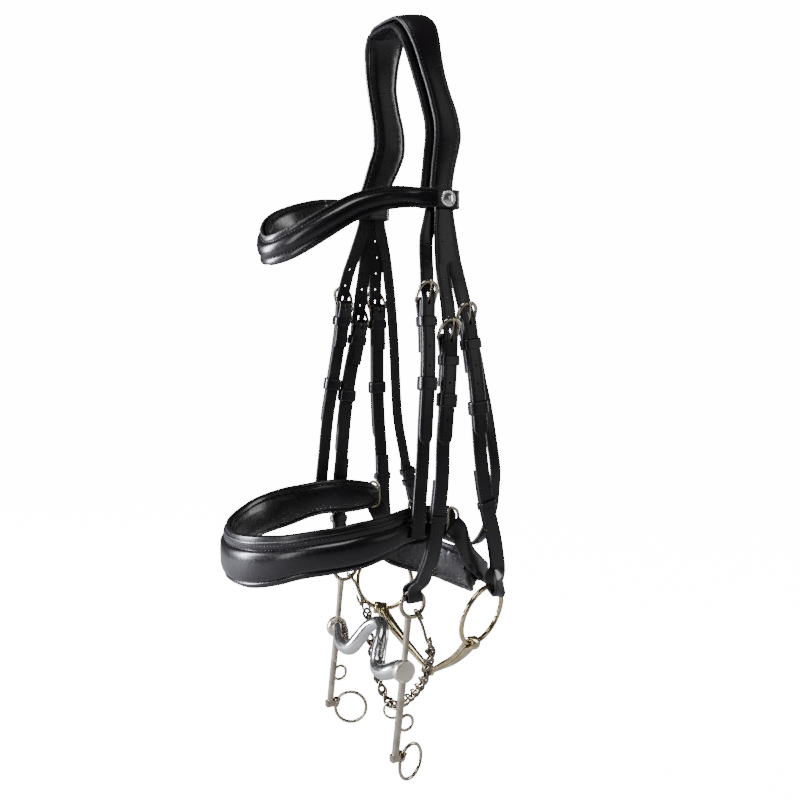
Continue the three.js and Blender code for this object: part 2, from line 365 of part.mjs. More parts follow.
// ---------------------------------------------------------------- noseband
// [x, y, top, bottom] of the noseband, from its near end to the middle of the nose
const NOSE = [[70, 4, -426, -452], [72, -5, -424, -454], [76, -25, -422, -454.5], [82, -45, -422.5, -455], [86, -65, -425, -459.7], [86, -85, -427, -464.6], [82, -103, -429.8, -467.2], [74, -120, -432.5, -469.5], [62, -137, -436, -473.5], [47, -151, -439, -480], [30, -161, -441, -484.5], [12, -166, -442.4, -486], [0, -167, -442.8, -486.2]];
{
  const all = NOSE.concat(NOSE.slice(0, -1).reverse().map(([x, y, a, b]) => [-x, y, a, b]));
  const row = all.map(([x, y, a, b], i) => {
    const p = all[Math.max(0, i - 1)], q = all[Math.min(all.length - 1, i + 1)], l = Math.hypot(q[0] - p[0], q[1] - p[1]);
    return { x, y, z: (a + b) / 2, h: (a - b) / 2, nx: -(q[1] - p[1]) / l, ny: (q[0] - p[0]) / l };
  });
  if (row[2].nx < 0) row.forEach((q) => { q.nx *= -1; q.ny *= -1; });
  const build = (rows, section) => loft(rows.map((q) => section(q.h).map(([z, n]) => new THREE.Vector3(q.x + q.nx * n, q.y + q.ny * n, q.z + z))));
  put('noseband', build(row, (h) => [[-h + 1.5, 1.8], [h - 3.5, 1.8], [h - 3.5, 3.8], [h - 9, 4.4], [h * 0.3, 6.4], [-h * 0.35, 6.4], [-h + 6, 4.4], [-h + 1.5, 3.6]]), leather());
  put('noseband_padding', build(row.slice(1, -1), (h) => [[-h, 0], [-h + 3, 1.4], [h - 3, 1.4], [h, 0], [h, -3.4], [h - 3.4, -6], [-h + 3.4, -6], [-h, -3.4]]), lining());
  for (const s of [1, -1]) {
    const P = (y, z, x = 0) => [s * (73.4 + x), y, z];
    put('noseband_dee_' + (s > 0 ? 'near' : 'far'), strap([P(6.8, -449, -0.4), P(6.8, -439, -0.4), P(6.8, -429, -0.4), P(9, -426.4), P(13.6, -427.6), P(16.6, -431, 0.3), P(17.6, -440, 0.4), P(16.6, -449, 0.3), P(13.6, -452.4), P(9, -451.6)], round(1.5, 5), { step: 5.5, loop: true, ref: [1, 0.02, 0.01] }), steel());
  }
}
{
  const line = lineOf(CRANK, (p) => p.x, [0, 1, 0], [0, 0, 1]);
  const outward = (u, p) => [p.x, p.y - 10, 0];
  const W = 19, bar = 2;
  const lead = (s) => [[s * 76.9, 9, -441], [s * 77.4, 15, -447]];
  // near part: from the near dee, over the rear buckle
  const nearPts = [...lead(1), [76.6, 20, -457], [73.4, 29, -472], [65.2, 46.4, -487], ...between(line, 53, 21, 4.4, 12), off(line, 14, 4.6), off(line, 8, 5.4), off(line, 2, 6.2), off(line, -6, 5.6), ...between(line, -14, -38, BILLET, 8)];
  put('crank_strap_near', cut(strap(nearPts, pointed(W, LEATHER), { step: 0, ref: [0, 0, 1], out: outward }), tongueSlot(line, bar, -3, 9)), leather());
  const farPts = [...foldTop(line, bar, bar - 30), ...between(line, bar - 26, -61, LAYER, 12), off(line, -66, LAYER), [-75.4, 20.5, -464], [-77.9, 15.5, -452], [-77.4, 9, -443]];
  put('crank_strap_far', cut(join(strap(farPts, flat(W, LEATHER), { step: 0, ref: [0, 0, 1] }), keeper(line, bar - 17, W + 1, 9, -2.3, 6.7)), tongueSlot(line, bar, -4.6, 5.6)), leather());
  put('crank_buckle', buckleFrame(line, bar, W), steel());
  put('crank_buckle_tongue', buckleTongue(line, bar), steel());
  // the padded piece behind the jaw
  const pad = [[59, 38, -485], [47, 50.5, -495], [25, 59, -501], [0, 61, -503], [-25, 55.5, -501], [-47, 39.5, -497], [-58, 23, -490], [-63.5, 10, -481]];
  put('chin_pad', strap(pad, (u) => { const e = Math.min(1, Math.min(u, 1 - u) * 7 + 0.55), h = 20 * e, t = 4.6 * (0.6 + 0.4 * e); return [[-h, -t * 0.4], [-h, t * 0.4], [-h + 5, t], [h - 5, t], [h, t * 0.4], [h, -t * 0.4], [h - 5, -t], [-h + 5, -t]]; }, { step: 14, ref: [0, 0, 1], out: outward }), lining());
}

// ---------------------------------------------------------------- curb bit
for (const s of [1, -1]) {
  const S = s > 0 ? 'near' : 'far', X = s * BIT_X;
  const bar = (pts, w) => strap(pts.map(([y, z]) => [X, y, z]), (u) => { const k = w(u) / 2, c = k * 0.65; return [[-k, -c], [-c, -k], [c, -k], [k, -c], [k, c], [c, k], [-c, k], [-k, c]]; }, { step: 12, ref: [1, 0, 0] });
  const shank = bar([[EYE_Y - 4.4, EYE_Z - EYE_R + 0.6], [-31.4, -535], [-33.4, -556], [BOSS_Y, BOSS_Z], [-36.6, -586], [-40.2, -618], [-43.2, -645], [-43.5, -650]], (u) => 7.2 - 1.2 * Math.sin(Math.PI * Math.min(1, u * 2.4)));
  const boss = bare(new THREE.CylinderGeometry(BOSS_R, BOSS_R, 8.4, 16).rotateZ(Math.PI / 2).translate(X + s * 1.4, BOSS_Y, BOSS_Z));
  const foot = bare(box(7.4, 15, 8.6, X, -40.2, FOOT_Z));
  const lip = ring([X, LIP_Y, LIP_Z], [1, 0, 0], LIP_R, LIP_WIRE, 12, 5);
  const eye = ring([X, EYE_Y, EYE_Z], [1, 0, 0], EYE_R, EYE_WIRE, 20, 6);
  // the rein ring hangs from a hole bored along its wire; dip is how far its centre lies below the hole
  const yaw = s > 0 ? [-0.37, 0.93] : [0.5, 0.866], dip = (s > 0 ? 38 : 20) * Math.PI / 180;
  const radial = new THREE.Vector3(yaw[0] * Math.cos(dip), yaw[1] * Math.cos(dip), -Math.sin(dip)).normalize();
  const along = new THREE.Vector3(yaw[0] * Math.sin(dip), yaw[1] * Math.sin(dip), Math.cos(dip)).normalize();
  const hole = moved(bare(new THREE.CylinderGeometry(3.05, 3.05, 30, 10)), new THREE.Matrix4().compose(V([X, -36.4, FOOT_Z]), new THREE.Quaternion().setFromUnitVectors(new THREE.Vector3(0, 1, 0), along), new THREE.Vector3(1, 1, 1)));
  put('curb_cheek_' + S, cut(join(shank, boss, foot, lip, eye), hole), steel());
  const c = V([X, -36.4, FOOT_Z]).addScaledVector(radial, REIN_R).toArray();
  put('rein_ring_' + S, ring(c, [yaw[1], -yaw[0], 0], REIN_R, REIN_WIRE, 20, 6), steel());
}
put('curb_mouthpiece', wire([[64.4, BOSS_Y, BOSS_Z], [61, BOSS_Y, BOSS_Z], [56, -36.2, -571.5], [48, -39.5, -576], [38, -41, -578.5], [28, -39.5, -577], [20.5, -34.5, -567.5], [14, -27.5, -555], [6, -23, -549], [0, -22, -548], [-6, -23, -549], [-14, -27.5, -555], [-20.5, -34.5, -567.5], [-28, -39.5, -577], [-38, -41, -578.5], [-48, -39.5, -576], [-56, -36.2, -571.5], [-61, BOSS_Y, BOSS_Z], [-64.4, BOSS_Y, BOSS_Z]].map(([x, y, z]) => [x * 0.975, y, z]), (u) => 7.6 - 1.6 * Math.exp(-(((u - 0.5) / 0.16) ** 2)), { sides: 8, step: 8, ref: [0.02, 1, 0.01] }), bright());

// hooks of the curb chain, hung in the eyes
const HOOK = [0, EYE_Y + EYE_R * 0.5, EYE_Z - EYE_R * 0.866];
for (const s of [1, -1]) {
  const P = (a, b, dy = 0) => [s * (BIT_X + a), HOOK[1] + b * 0.5 + dy, HOOK[2] - b * 0.866];
  const Q = (a, y, z) => [s * (BIT_X + a), y, z];
  put('curb_hook_' + (s > 0 ? 'near' : 'far'), wire([P(4.2, 4), P(4.3, 0), P(3, -3.2), P(0, -4.3), P(-3, -3.2), P(-4.3, 0), P(-4.6, 5), Q(-5, -13, -532), Q(-5, -10, -541), Q(-3.6, -8.5, -548), Q(0, -8, -551), Q(3.8, -8.6, -547.6), Q(4.6, -10.2, -541.6)], 1.5, { sides: 5, step: 4.4, ref: [0.05, 1, 0.3] }), steel());
}
// the chain: a run of twisted links between the hooks, with the fly link at its lowest point
const CHAIN = [[62.4, -8.4, -545.4], [60.9, -3.8, -557.5], [58, -2, -564], [52, -0.5, -575], [42, 1.5, -592], [28, 2.6, -608], [10, 3.4, -624], [-6, 3.6, -636], [-18, 3.2, -641.6], [-29, 2, -640], [-38, -1, -627], [-45, -3.6, -606], [-52, -4.6, -584], [-58, -3.6, -564], [-60.9, -3.9, -557.5], [-62.4, -8.4, -545.4]];
{
  const n = 34, c = new THREE.CatmullRomCurve3(CHAIN.slice(1, -1).map(V), false, 'centripetal');
  c.arcLengthDivisions = 400;
  const len = c.getLength(), links = 17;
  const rings = [];
  for (let i = 0; i <= n; i++) {
    const u = i / n, p = c.getPointAt(u), t = c.getTangentAt(u);
    const a = new THREE.Vector3(0, 1, 0); a.addScaledVector(t, -a.dot(t)).normalize();
    const b = new THREE.Vector3().crossVectors(t, a);
    const ph = u * links * Math.PI, w = Math.abs(p.x + 20.5) < 4.5 ? 1.7 : 2.4 + 1.8 * Math.abs(Math.sin(ph)), th = 1.7;
    const q = u * links * Math.PI * 0.5;
    rings.push(Array.from({ length: 6 }, (_, j) => { const e = (2 * Math.PI * j) / 6, x = w * Math.cos(e), y = th * Math.sin(e); return p.clone().addScaledVector(a, x * Math.cos(q) - y * Math.sin(q)).addScaledVector(b, x * Math.sin(q) + y * Math.cos(q)); }));
  }
  const body = loft(rings);
  const endRing = (s) => ring([s * 61.6, -4.2, -553.4], [0.25 * s, 1, 0.1], 5.6, 1.1, 12, 5);

  put('curb_chain', join(body, endRing(1), endRing(-1)), steel());
  put('fly_link', ring([-20.5, 3.2, -646.9], [0.9, -0.44, 0.05], 8.6, 1.3, 16, 5), steel());
}

// ---------------------------------------------------------------- bradoon
for (const S of ['near', 'far']) put('bradoon_ring_' + S, ring(BR[S].c, BR[S].axis, BRADOON_R, BRADOON_WIRE, 28, 6), steel());
{
  const J = [2, 33, -604];
  for (const S of ['near', 'far']) {
    const s = S === 'near' ? 1 : -1;
    const e = BR[S].at(-12);
    const dir = V(J).sub(e).normalize();
    // sleeve that the ring runs through: its hole follows the wire
    const before = BR[S].at(-34), after = BR[S].at(10), wireDir = after.clone().sub(before).normalize();
    const q = new THREE.Quaternion().setFromUnitVectors(new THREE.Vector3(0, 1, 0), wireDir);
    const put2 = (g, p) => moved(bare(g), new THREE.Matrix4().compose(p, q, new THREE.Vector3(1, 1, 1)));
    const sleeve = put2(new THREE.CylinderGeometry(6.4, 6.4, 13, 10), e);
    const bore = wire([-44, -34, -24, -12, 0, 10, 20].map((d) => BR[S].at(d).toArray()), BRADOON_WIRE + 0.75, { sides: 7, step: 6, ref: BR[S].a.toArray() });
    const endY = s > 0 ? 2.4 : -2.4;
    const end = V(J).add(new THREE.Vector3(s * 3.5, 0, 0));
    const mid = e.clone().lerp(end, 0.5).add(new THREE.Vector3(0, 1, -3.5));
    const cone = wire([e.clone().addScaledVector(dir, 3).toArray(), e.clone().lerp(mid, 0.5).add(new THREE.Vector3(0, 0, -1)).toArray(), mid.toArray(), mid.clone().lerp(end, 0.5).toArray(), end.clone().addScaledVector(dir, -2.4).toArray()], (u) => 6.2 - 3.2 * u, { sides: 8, step: 14, ref: [0.02, 1, 0.01] });
    const eye = s > 0 ? ring([J[0] + 1, J[1], J[2]], [0, 1, 0], 4.6, 1.5, 10, 5) : ring([J[0] - 4.6, J[1], J[2]], [0, 0, 1], 4.6, 1.5, 10, 5);
    put('bradoon_mouthpiece_' + S, cut(join(sleeve, cone, eye), bore), steel());
  }
}

export default bridle;
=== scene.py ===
import json
import math

import bpy
import numpy as np
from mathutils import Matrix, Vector, noise


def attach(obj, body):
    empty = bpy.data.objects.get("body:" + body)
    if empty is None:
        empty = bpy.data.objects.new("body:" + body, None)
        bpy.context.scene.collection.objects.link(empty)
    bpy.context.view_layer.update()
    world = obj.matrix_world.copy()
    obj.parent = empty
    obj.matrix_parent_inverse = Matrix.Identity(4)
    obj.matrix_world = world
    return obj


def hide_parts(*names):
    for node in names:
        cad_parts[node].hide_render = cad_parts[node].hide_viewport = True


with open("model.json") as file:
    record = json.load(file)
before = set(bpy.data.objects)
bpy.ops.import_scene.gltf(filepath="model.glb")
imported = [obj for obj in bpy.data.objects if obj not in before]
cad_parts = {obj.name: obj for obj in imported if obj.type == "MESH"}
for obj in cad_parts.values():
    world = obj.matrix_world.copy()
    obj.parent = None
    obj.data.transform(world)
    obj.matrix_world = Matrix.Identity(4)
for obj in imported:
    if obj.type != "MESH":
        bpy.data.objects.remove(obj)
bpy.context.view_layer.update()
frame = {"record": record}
REC = frame["record"]
BODY = {n: b for b, ns in REC["behaviour"]["bodies"].items() for n in ns}

# ------------------------------------------------------------------ sizes, in mm
LEATHER, LAYER, BILLET, KEEPER_T = 2.6, 1.6, 4.8, 1.5
WIDTH = {"hanger": 13.0, "curb": 14.0, "bradoon": 14.0}
THROAT_W, CRANK_W = 11.0, 19.0
BIT_X, EYE_Y, EYE_Z, EYE_R, EYE_WIRE = 66.5, -25.6, -510.3, 11.7, 2.1
BOSS_Y, BOSS_Z, BOSS_R = -35.0, -569.5, 10.5
LIP_Y, LIP_Z, LIP_R, LIP_WIRE = -32.3, -617.6, 6.9, 1.5
FOOT_Z, REIN_R, REIN_WIRE = -647.5, 15.6, 1.7
RING_R, RING_WIRE = 28.7, 2.4
HANG = {
    "near": {
        "hanger": [[60.6, 1.5, -142], [61.4, -1.5, -152], [62.7, -5, -168], [66.4, -12.8, -192], [71.6, -17.4, -218], [77.8, -21, -244], [83, -22.5, -286], [85, -24.5, -315], [86.2, -27, -345], [87, -29, -379], [87, -31, -405], [87.8, -33, -424], [87.8, -34.5, -448]],
        "curb": [[66.2, 2.4, -150], [67.2, 2.4, -168], [69.5, 0.6, -183], [74, -1.1, -211], [78.7, -0.9, -243.5], [81.5, -1.2, -268], [83.5, -1.6, -295], [85.8, -5.5, -333], [86.5, -8.3, -363], [86.6, -9.4, -398], [85.8, -12.9, -433], [84.6, -15.3, -456], [79.8, -17, -473], [72, -19.8, -489]],
        "bradoon": [[66.2, 6.8, -150], [67.2, 7.4, -168], [69.5, 8.6, -183], [74, 11.3, -211], [78.7, 15, -243], [80.6, 18.7, -262], [83, 22.5, -287], [85, 25.7, -317], [86, 27.6, -341], [86.8, 30.2, -375], [86, 35.4, -406.5], [84.6, 42.1, -433], [82, 49.7, -454], [77.5, 57, -476], [74.2, 60.6, -487]],
    },
    "far": {
        "hanger": [[-60.6, 1.5, -142], [-61.4, -1.5, -152], [-63.4, -4.5, -170], [-68.3, -12, -198], [-75.5, -17, -227], [-79.5, -19, -251], [-82.5, -21.3, -281], [-85.1, -27.2, -321.5], [-86.5, -33.6, -361], [-87.8, -37, -395], [-90, -39.5, -425], [-90.4, -41.5, -449]],
        "curb": [[-66.2, 2.4, -150], [-67.2, 2.4, -162], [-69, 2.4, -177], [-73, 2.2, -204], [-77.2, 1.6, -231], [-80.5, 0.5, -261], [-82.5, -1.5, -281.5], [-85.2, -8.9, -322], [-86.5, -14.1, -362], [-87, -17.3, -396], [-87.4, -20.5, -426], [-86.6, -22.6, -456], [-80.6, -24.2, -474], [-72, -24.8, -489]],
        "bradoon": [[-66.2, 6.8, -150], [-67.2, 8.4, -162], [-69.2, 11.3, -182], [-72.8, 15.3, -203], [-77, 17.4, -227], [-80.3, 20.4, -255], [-83.4, 22.4, -292], [-85.9, 23.9, -333.6], [-86.6, 25.4, -364], [-86.8, 27.4, -389], [-86, 28.4, -423], [-85, 28.6, -449], [-81, 28.6, -472], [-77, 28.6, -486]],
    },
}
THROAT_NEAR = [[57.3, 9.6, -150], [58.4, 9.6, -167], [62.5, 13, -191], [68.4, 17.4, -226], [73.6, 24, -258], [77.6, 31.5, -287], [79.4, 37.4, -317], [80.2, 42, -336], [82.4, 46.6, -367], [82.6, 51, -396], [79.6, 52.4, -414], [77.4, 52, -430], [71.5, 50, -449], [60, 49, -464], [36, 51.5, -473], [8, 55.5, -475.5], [-24, 59.5, -476], [-50, 63.5, -474.5], [-68, 67, -471], [-76, 68.5, -464.5]]
THROAT_FAR = [[-76.8, 68.4, -465], [-79.2, 66, -455], [-80.4, 62.5, -442], [-81, 57.5, -424], [-81, 52, -400], [-80.6, 45, -365], [-79, 41, -323], [-76, 37.8, -292], [-71.6, 31.2, -241], [-66, 22, -196], [-59, 12, -167], [-57.3, 11.2, -150]]
CRANK = [[74.2, 9, -450], [74.8, 17, -459], [70.5, 29, -474], [62.5, 46, -489], [50, 60.5, -499.5], [27, 71.4, -505], [0, 73, -506], [-28, 67, -504], [-51, 48.3, -499], [-62.7, 29.6, -490], [-69.8, 16.8, -474], [-73, 10, -462]]
BUCKLES = {
    "near": {"hanger": (-246, -360, -288, -262, -314), "curb": (-277, -362, -318, -295, -329), "bradoon": (-263, -357, -306, -281.5, -337)},
    "far": {"hanger": (-247, -362, -288, -262.5, -326), "curb": (-266, -394, -306, -282, -338), "bradoon": (-250, -380, -292, -266, -331)},
}
ARCH = [[64.2, -153, -9, 14.5], [61.8, -140, -6, 17], [59, -126, -3, 21.5], [56, -112, 0.5, 27], [53.5, -100, 3, 30.5], [51.5, -88, 3.5, 30], [49.8, -76, 1.5, 27.5], [48, -62, -1.5, 22.5], [45.5, -44, -6.5, 18], [42, -26, -10.5, 16.5], [37, -11, -14, 17], [30.5, 0, -16.5, 17], [23, 6.6, -18, 14], [17, 8.2, -18.5, 12.5]]
BROW = [[70.9, 12, -156.6, 16], [71, 4, -156.6, 16], [70.6, -6, -156.5, 16], [65, -18, -156.3, 17], [58.6, -31, -156, 18.5], [56.8, -41, -157, 19.5], [56, -50, -158.5, 20], [53, -70, -164.5, 21.5], [48, -90, -175.4, 22.5], [39, -108, -187, 23.5], [27, -122, -196, 24.5], [13, -131, -201, 24.5], [0, -134, -201, 24.5], [-13, -131, -194.5, 24.5], [-27, -122, -185.5, 24.5], [-39, -108, -176, 23.5], [-48, -90, -168, 22.5], [-53, -70, -161.5, 21.5], [-56, -50, -157, 20], [-58.6, -31, -155.5, 18.5], [-65, -18, -155.5, 17], [-70.6, -6, -155.5, 16], [-71, 4, -155.6, 16], [-70.9, 12, -155.6, 16]]
NOSE = [[70, 4, -426, -452], [72, -5, -424, -454], [76, -25, -422, -454.5], [82, -45, -422.5, -455], [86, -65, -425, -459.7], [86, -85, -427, -464.6], [82, -103, -429.8, -467.2], [74, -120, -432.5, -469.5], [62, -137, -436, -473.5], [47, -151, -439, -480], [30, -161, -441, -484.5], [12, -166, -442.4, -486], [0, -167, -442.8, -486.2]]
CHAIN = [[60.9, -3.8, -557.5], [58, -2, -564], [52, -0.5, -575], [42, 1.5, -592], [28, 2.6, -608], [10, 3.4, -624], [-6, 3.6, -636], [-18, 3.2, -641.6], [-29, 2, -640], [-38, -1, -627], [-45, -3.6, -606], [-52, -4.6, -584], [-58, -3.6, -564], [-60.9, -3.9, -557.5]]
BR = {"near": ([72, 45, -530], [0.92, 0.3, -0.25]), "far": ([-74, 24, -532], [-0.92, 0.3, -0.25])}


# ------------------------------------------------------------------ curves and frames
def unit(v):
    v = np.asarray(v, float)
    l = np.linalg.norm(v, axis=-1, keepdims=True)
    return v / np.where(l < 1e-12, 1, l)


def spline(pts, n=16, closed=False):
    P = np.array(pts, float)
    if closed:
        E = np.vstack([P[-1:], P, P[:2]])
    else:
        E = np.vstack([2 * P[0] - P[1], P, 2 * P[-1] - P[-2]])
    out = []
    for i in range(1, len(E) - 2):
        p0, p1, p2, p3 = E[i - 1:i + 3]
        d0, d1, d2 = [max(1e-4, np.linalg.norm((b - a)[:3]) ** 0.5) for a, b in ((p0, p1), (p1, p2), (p2, p3))]
        t1 = ((p1 - p0) / d0 - (p2 - p0) / (d0 + d1) + (p2 - p1) / d1) * d1
        t2 = ((p2 - p1) / d1 - (p3 - p1) / (d1 + d2) + (p3 - p2) / d2) * d1
        for k in range(n):
            s = k / n
            out.append((2 * s ** 3 - 3 * s ** 2 + 1) * p1 + (s ** 3 - 2 * s ** 2 + s) * t1 + (-2 * s ** 3 + 3 * s ** 2) * p2 + (s ** 3 - s ** 2) * t2)
    if not closed:
        out.append(P[-1])
    return np.array(out)


def lengths(P):
    return np.concatenate([[0], np.cumsum(np.linalg.norm(np.diff(P[:, :3], axis=0), axis=1))])


def even(P, step, closed=False):
    Q = np.vstack([P, P[:1]]) if closed else P
    s = lengths(Q)
    n = max(2, int(round(s[-1] / step)))
    u = np.linspace(0, s[-1], n + 1)
    if closed:
        u = u[:-1]
    return np.stack([np.interp(u, s, Q[:, k]) for k in range(Q.shape[1])], 1)


def curve(pts, step=2.5, closed=False):
    return even(spline(pts, closed=closed), step, closed)


def tangents(P, closed=False):
    if closed:
        return unit(np.roll(P, -1, 0)[:, :3] - np.roll(P, 1, 0)[:, :3])
    T = np.empty((len(P), 3))
    T[1:-1] = P[2:, :3] - P[:-2, :3]
    T[0], T[-1] = P[1, :3] - P[0, :3], P[-1, :3] - P[-2, :3]
    return unit(T)


class Line:
    def __init__(self, pts, key, out, ref):
        self.P = spline(pts, 60)
        self.T = tangents(self.P)
        self.k = np.array([key(p) for p in self.P])
        self.out, self.ref = np.array(out, float), np.array(ref, float)
        self.pts = pts

    def at(self, s):
        k = self.k[::-1]
        p = np.array([np.interp(s, k, self.P[::-1, i]) for i in range(3)])
        t = -unit(np.array([np.interp(s, k, self.T[::-1, i]) for i in range(3)]))
        w = unit(self.ref - self.ref.dot(t) * t)
        n = unit(np.cross(w, t))
        if n.dot(self.out) < 0:
            n, w = -n, -w
        return p, w, t, n

    def off(self, s, n, v=0.0, u=0.0):
        p, w, t, m = self.at(s)
        return p + w * u + t * v + m * n

    def between(self, a, b, n, step=14.0):
        k = max(1, int(round(abs(b - a) / step)))
        return [self.off(a + (b - a) * i / k, n) for i in range(k + 1)]


LINES = {S: {k: Line(HANG[S][k], lambda p: p[2], [1 if S == "near" else -1, 0, 0], [0, 1, 0]) for k in WIDTH} for S in ("near", "far")}
THROAT = Line(THROAT_FAR, lambda p: -p[2], [-1, 0, 0], [0, 1, 0])
CRANKL = Line(CRANK, lambda p: p[0], [0, 1, 0], [0, 0, 1])


# ------------------------------------------------------------------ materials
def nodes_of(name):
    m = bpy.data.materials.new(name)
    m.use_nodes = True
    nt = m.node_tree
    return m, nt, nt.nodes["Principled BSDF"]


def add(nt, kind, **inputs):
    n = nt.nodes.new(kind)
    for k, v in inputs.items():
        n.inputs[k.replace("_", " ")].default_value = v
    return n


def ramp(nt, src, lo, hi, a=0.3, b=0.7):
    r = nt.nodes.new("ShaderNodeMapRange")
    r.inputs["From Min"].default_value, r.inputs["From Max"].default_value = a, b
    r.inputs["To Min"].default_value, r.inputs["To Max"].default_value = lo, hi
    nt.links.new(src, r.inputs["Value"])
    return r.outputs["Result"]


def mixed(nt, fac, c0, c1):
    m = nt.nodes.new("ShaderNodeMix")
    m.data_type = "RGBA"
    m.inputs[6].default_value, m.inputs[7].default_value = (*c0, 1), (*c1, 1)
    nt.links.new(fac, m.inputs[0])
    return m.outputs[2]


def leather(name, dark, light, rough=(0.3, 0.46), grain=0.12, cell=1500, creases=0.25, coat=0.15, spec=0.5):
    m, nt, b = nodes_of(name)
    tc = nt.nodes.new("ShaderNodeTexCoord")
    o = tc.outputs["Object"]

    def tex(kind, scale, **kw):
        n = nt.nodes.new(kind)
        n.inputs["Scale"].default_value = scale
        for k, v in kw.items():
            n.inputs[k].default_value = v
        nt.links.new(o, n.inputs["Vector"])
        return n
    cloud = tex("ShaderNodeTexNoise", 38, Detail=5)
    fine = tex("ShaderNodeTexNoise", 420, Detail=4)
    vor = tex("ShaderNodeTexVoronoi", cell)
    wr = tex("ShaderNodeTexNoise", 130, Detail=3, Distortion=0.8)
    col = mixed(nt, ramp(nt, cloud.outputs["Fac"], 0, 1), dark, light)
    speck = nt.nodes.new("ShaderNodeMix")
    speck.data_type = "RGBA"
    speck.blend_type = "MULTIPLY"
    nt.links.new(ramp(nt, vor.outputs["Distance"], 0.0, 0.55, 0.0, 0.7), speck.inputs[0])
    nt.links.new(col, speck.inputs[6])
    speck.inputs[7].default_value = (0.45, 0.45, 0.47, 1)
    nt.links.new(speck.outputs[2], b.inputs["Base Color"])
    nt.links.new(ramp(nt, fine.outputs["Fac"], rough[0], rough[1]), b.inputs["Roughness"])
    b1 = add(nt, "ShaderNodeBump", Strength=grain, Distance=0.0004)
    nt.links.new(vor.outputs["Distance"], b1.inputs["Height"])
    b2 = add(nt, "ShaderNodeBump", Strength=creases, Distance=0.0006)
    nt.links.new(wr.outputs["Fac"], b2.inputs["Height"])
    nt.links.new(b1.outputs["Normal"], b2.inputs["Normal"])
    nt.links.new(b2.outputs["Normal"], b.inputs["Normal"])
    b.inputs["Specular IOR Level"].default_value = spec
    b.inputs["Coat Weight"].default_value = coat
    b.inputs["Coat Roughness"].default_value = 0.22
    return m


def metal(name, dark, light, rough=(0.1, 0.2)):
    m, nt, b = nodes_of(name)
    tc = nt.nodes.new("ShaderNodeTexCoord")
    o = tc.outputs["Object"]
    a = nt.nodes.new("ShaderNodeTexNoise")
    a.inputs["Scale"].default_value, a.inputs["Detail"].default_value = 90, 5
    nt.links.new(o, a.inputs["Vector"])
    s = nt.nodes.new("ShaderNodeTexNoise")
    s.inputs["Scale"].default_value, s.inputs["Detail"].default_value = 900, 3
    nt.links.new(o, s.inputs["Vector"])
    nt.links.new(mixed(nt, ramp(nt, a.outputs["Fac"], 0, 1), dark, light), b.inputs["Base Color"])
    nt.links.new(ramp(nt, s.outputs["Fac"], rough[0], rough[1]), b.inputs["Roughness"])
    bp = add(nt, "ShaderNodeBump", Strength=0.06, Distance=0.0003)
    nt.links.new(a.outputs["Fac"], bp.inputs["Height"])
    nt.links.new(bp.outputs["Normal"], b.inputs["Normal"])
    b.inputs["Metallic"].default_value = 1.0
    return m


M_STRAP = leather("strap_leather", (0.0048, 0.0034, 0.0048), (0.0098, 0.0072, 0.0098), rough=(0.22, 0.31), grain=0.05, creases=0.12, spec=0.46, coat=0.25)
M_EDGE = leather("burnished_edge", (0.005, 0.0045, 0.005), (0.016, 0.013, 0.014), rough=(0.4, 0.6), grain=0.25, cell=2600, creases=0.4, coat=0.0)
M_PAD = leather("soft_lining", (0.005, 0.0045, 0.0055), (0.011, 0.0095, 0.0118), spec=0.45, rough=(0.25, 0.38), grain=0.08, cell=1100, creases=0.3, coat=0.15)
M_FLESH = leather("flesh_side", (0.010, 0.008, 0.009), (0.022, 0.018, 0.019), rough=(0.6, 0.8), grain=0.35, cell=2200, creases=0.3, coat=0.0, spec=0.3)
M_THREAD = leather("waxed_thread", (0.016, 0.015, 0.017), (0.035, 0.032, 0.035), rough=(0.4, 0.6), grain=0.5, cell=5200, creases=0.2, coat=0.0)
M_STEEL = metal("polished_steel", (0.34, 0.295, 0.22), (0.64, 0.58, 0.46), (0.06, 0.15))
M_BRIGHT = metal("bright_steel", (0.74, 0.74, 0.74), (0.90, 0.90, 0.90), (0.10, 0.22))
M_SATIN = metal("satin_steel", (0.88, 0.82, 0.68), (0.96, 0.91, 0.80), (0.26, 0.38))
M_CHAIN = metal("chain_steel", (0.11, 0.092, 0.065), (0.36, 0.315, 0.235), (0.08, 0.2))
M_WARM = metal("warm_steel", (0.56, 0.45, 0.25), (0.80, 0.69, 0.44), (0.06, 0.16))


# ------------------------------------------------------------------ building pieces
def carve(V, F, M, cutters):
    """the faces of one closed piece with holes cut through it"""
    me = bpy.data.meshes.new("carve")
    me.from_pydata(np.asarray(V).tolist(), [], F)
    for m in range(6):
        me.materials.append(None)
    me.polygons.foreach_set("material_index", [M] * len(F) if isinstance(M, int) else M)
    o = bpy.data.objects.new("carve", me)
    bpy.context.scene.collection.objects.link(o)
    c = bpy.data.meshes.new("cut")
    vs, fs, n = [], [], 0
    for v, f in cutters:
        vs.append(v); fs += [tuple(j + n for j in q) for q in f]; n += len(v)
    c.from_pydata(np.vstack(vs).tolist(), [], fs)
    for m in range(2):
        c.materials.append(None)
    c.polygons.foreach_set("material_index", [1] * len(fs))
    co = bpy.data.objects.new("cutter", c)
    bpy.context.scene.collection.objects.link(co)
    md = o.modifiers.new("holes", "BOOLEAN")
    md.operation, md.object, md.solver = "DIFFERENCE", co, "EXACT"
    dg = bpy.context.evaluated_depsgraph_get()
    new = bpy.data.meshes.new_from_object(o.evaluated_get(dg), depsgraph=dg)
    V2 = np.array([v.co[:] for v in new.vertices])
    F2 = [tuple(q.vertices) for q in new.polygons]
    M2 = [min(q.material_index, 2) for q in new.polygons]
    for x in (o, co):
        bpy.data.objects.remove(x, do_unlink=True)
    for x in (me, c, new):
        bpy.data.meshes.remove(x)
    return V2, F2, M2


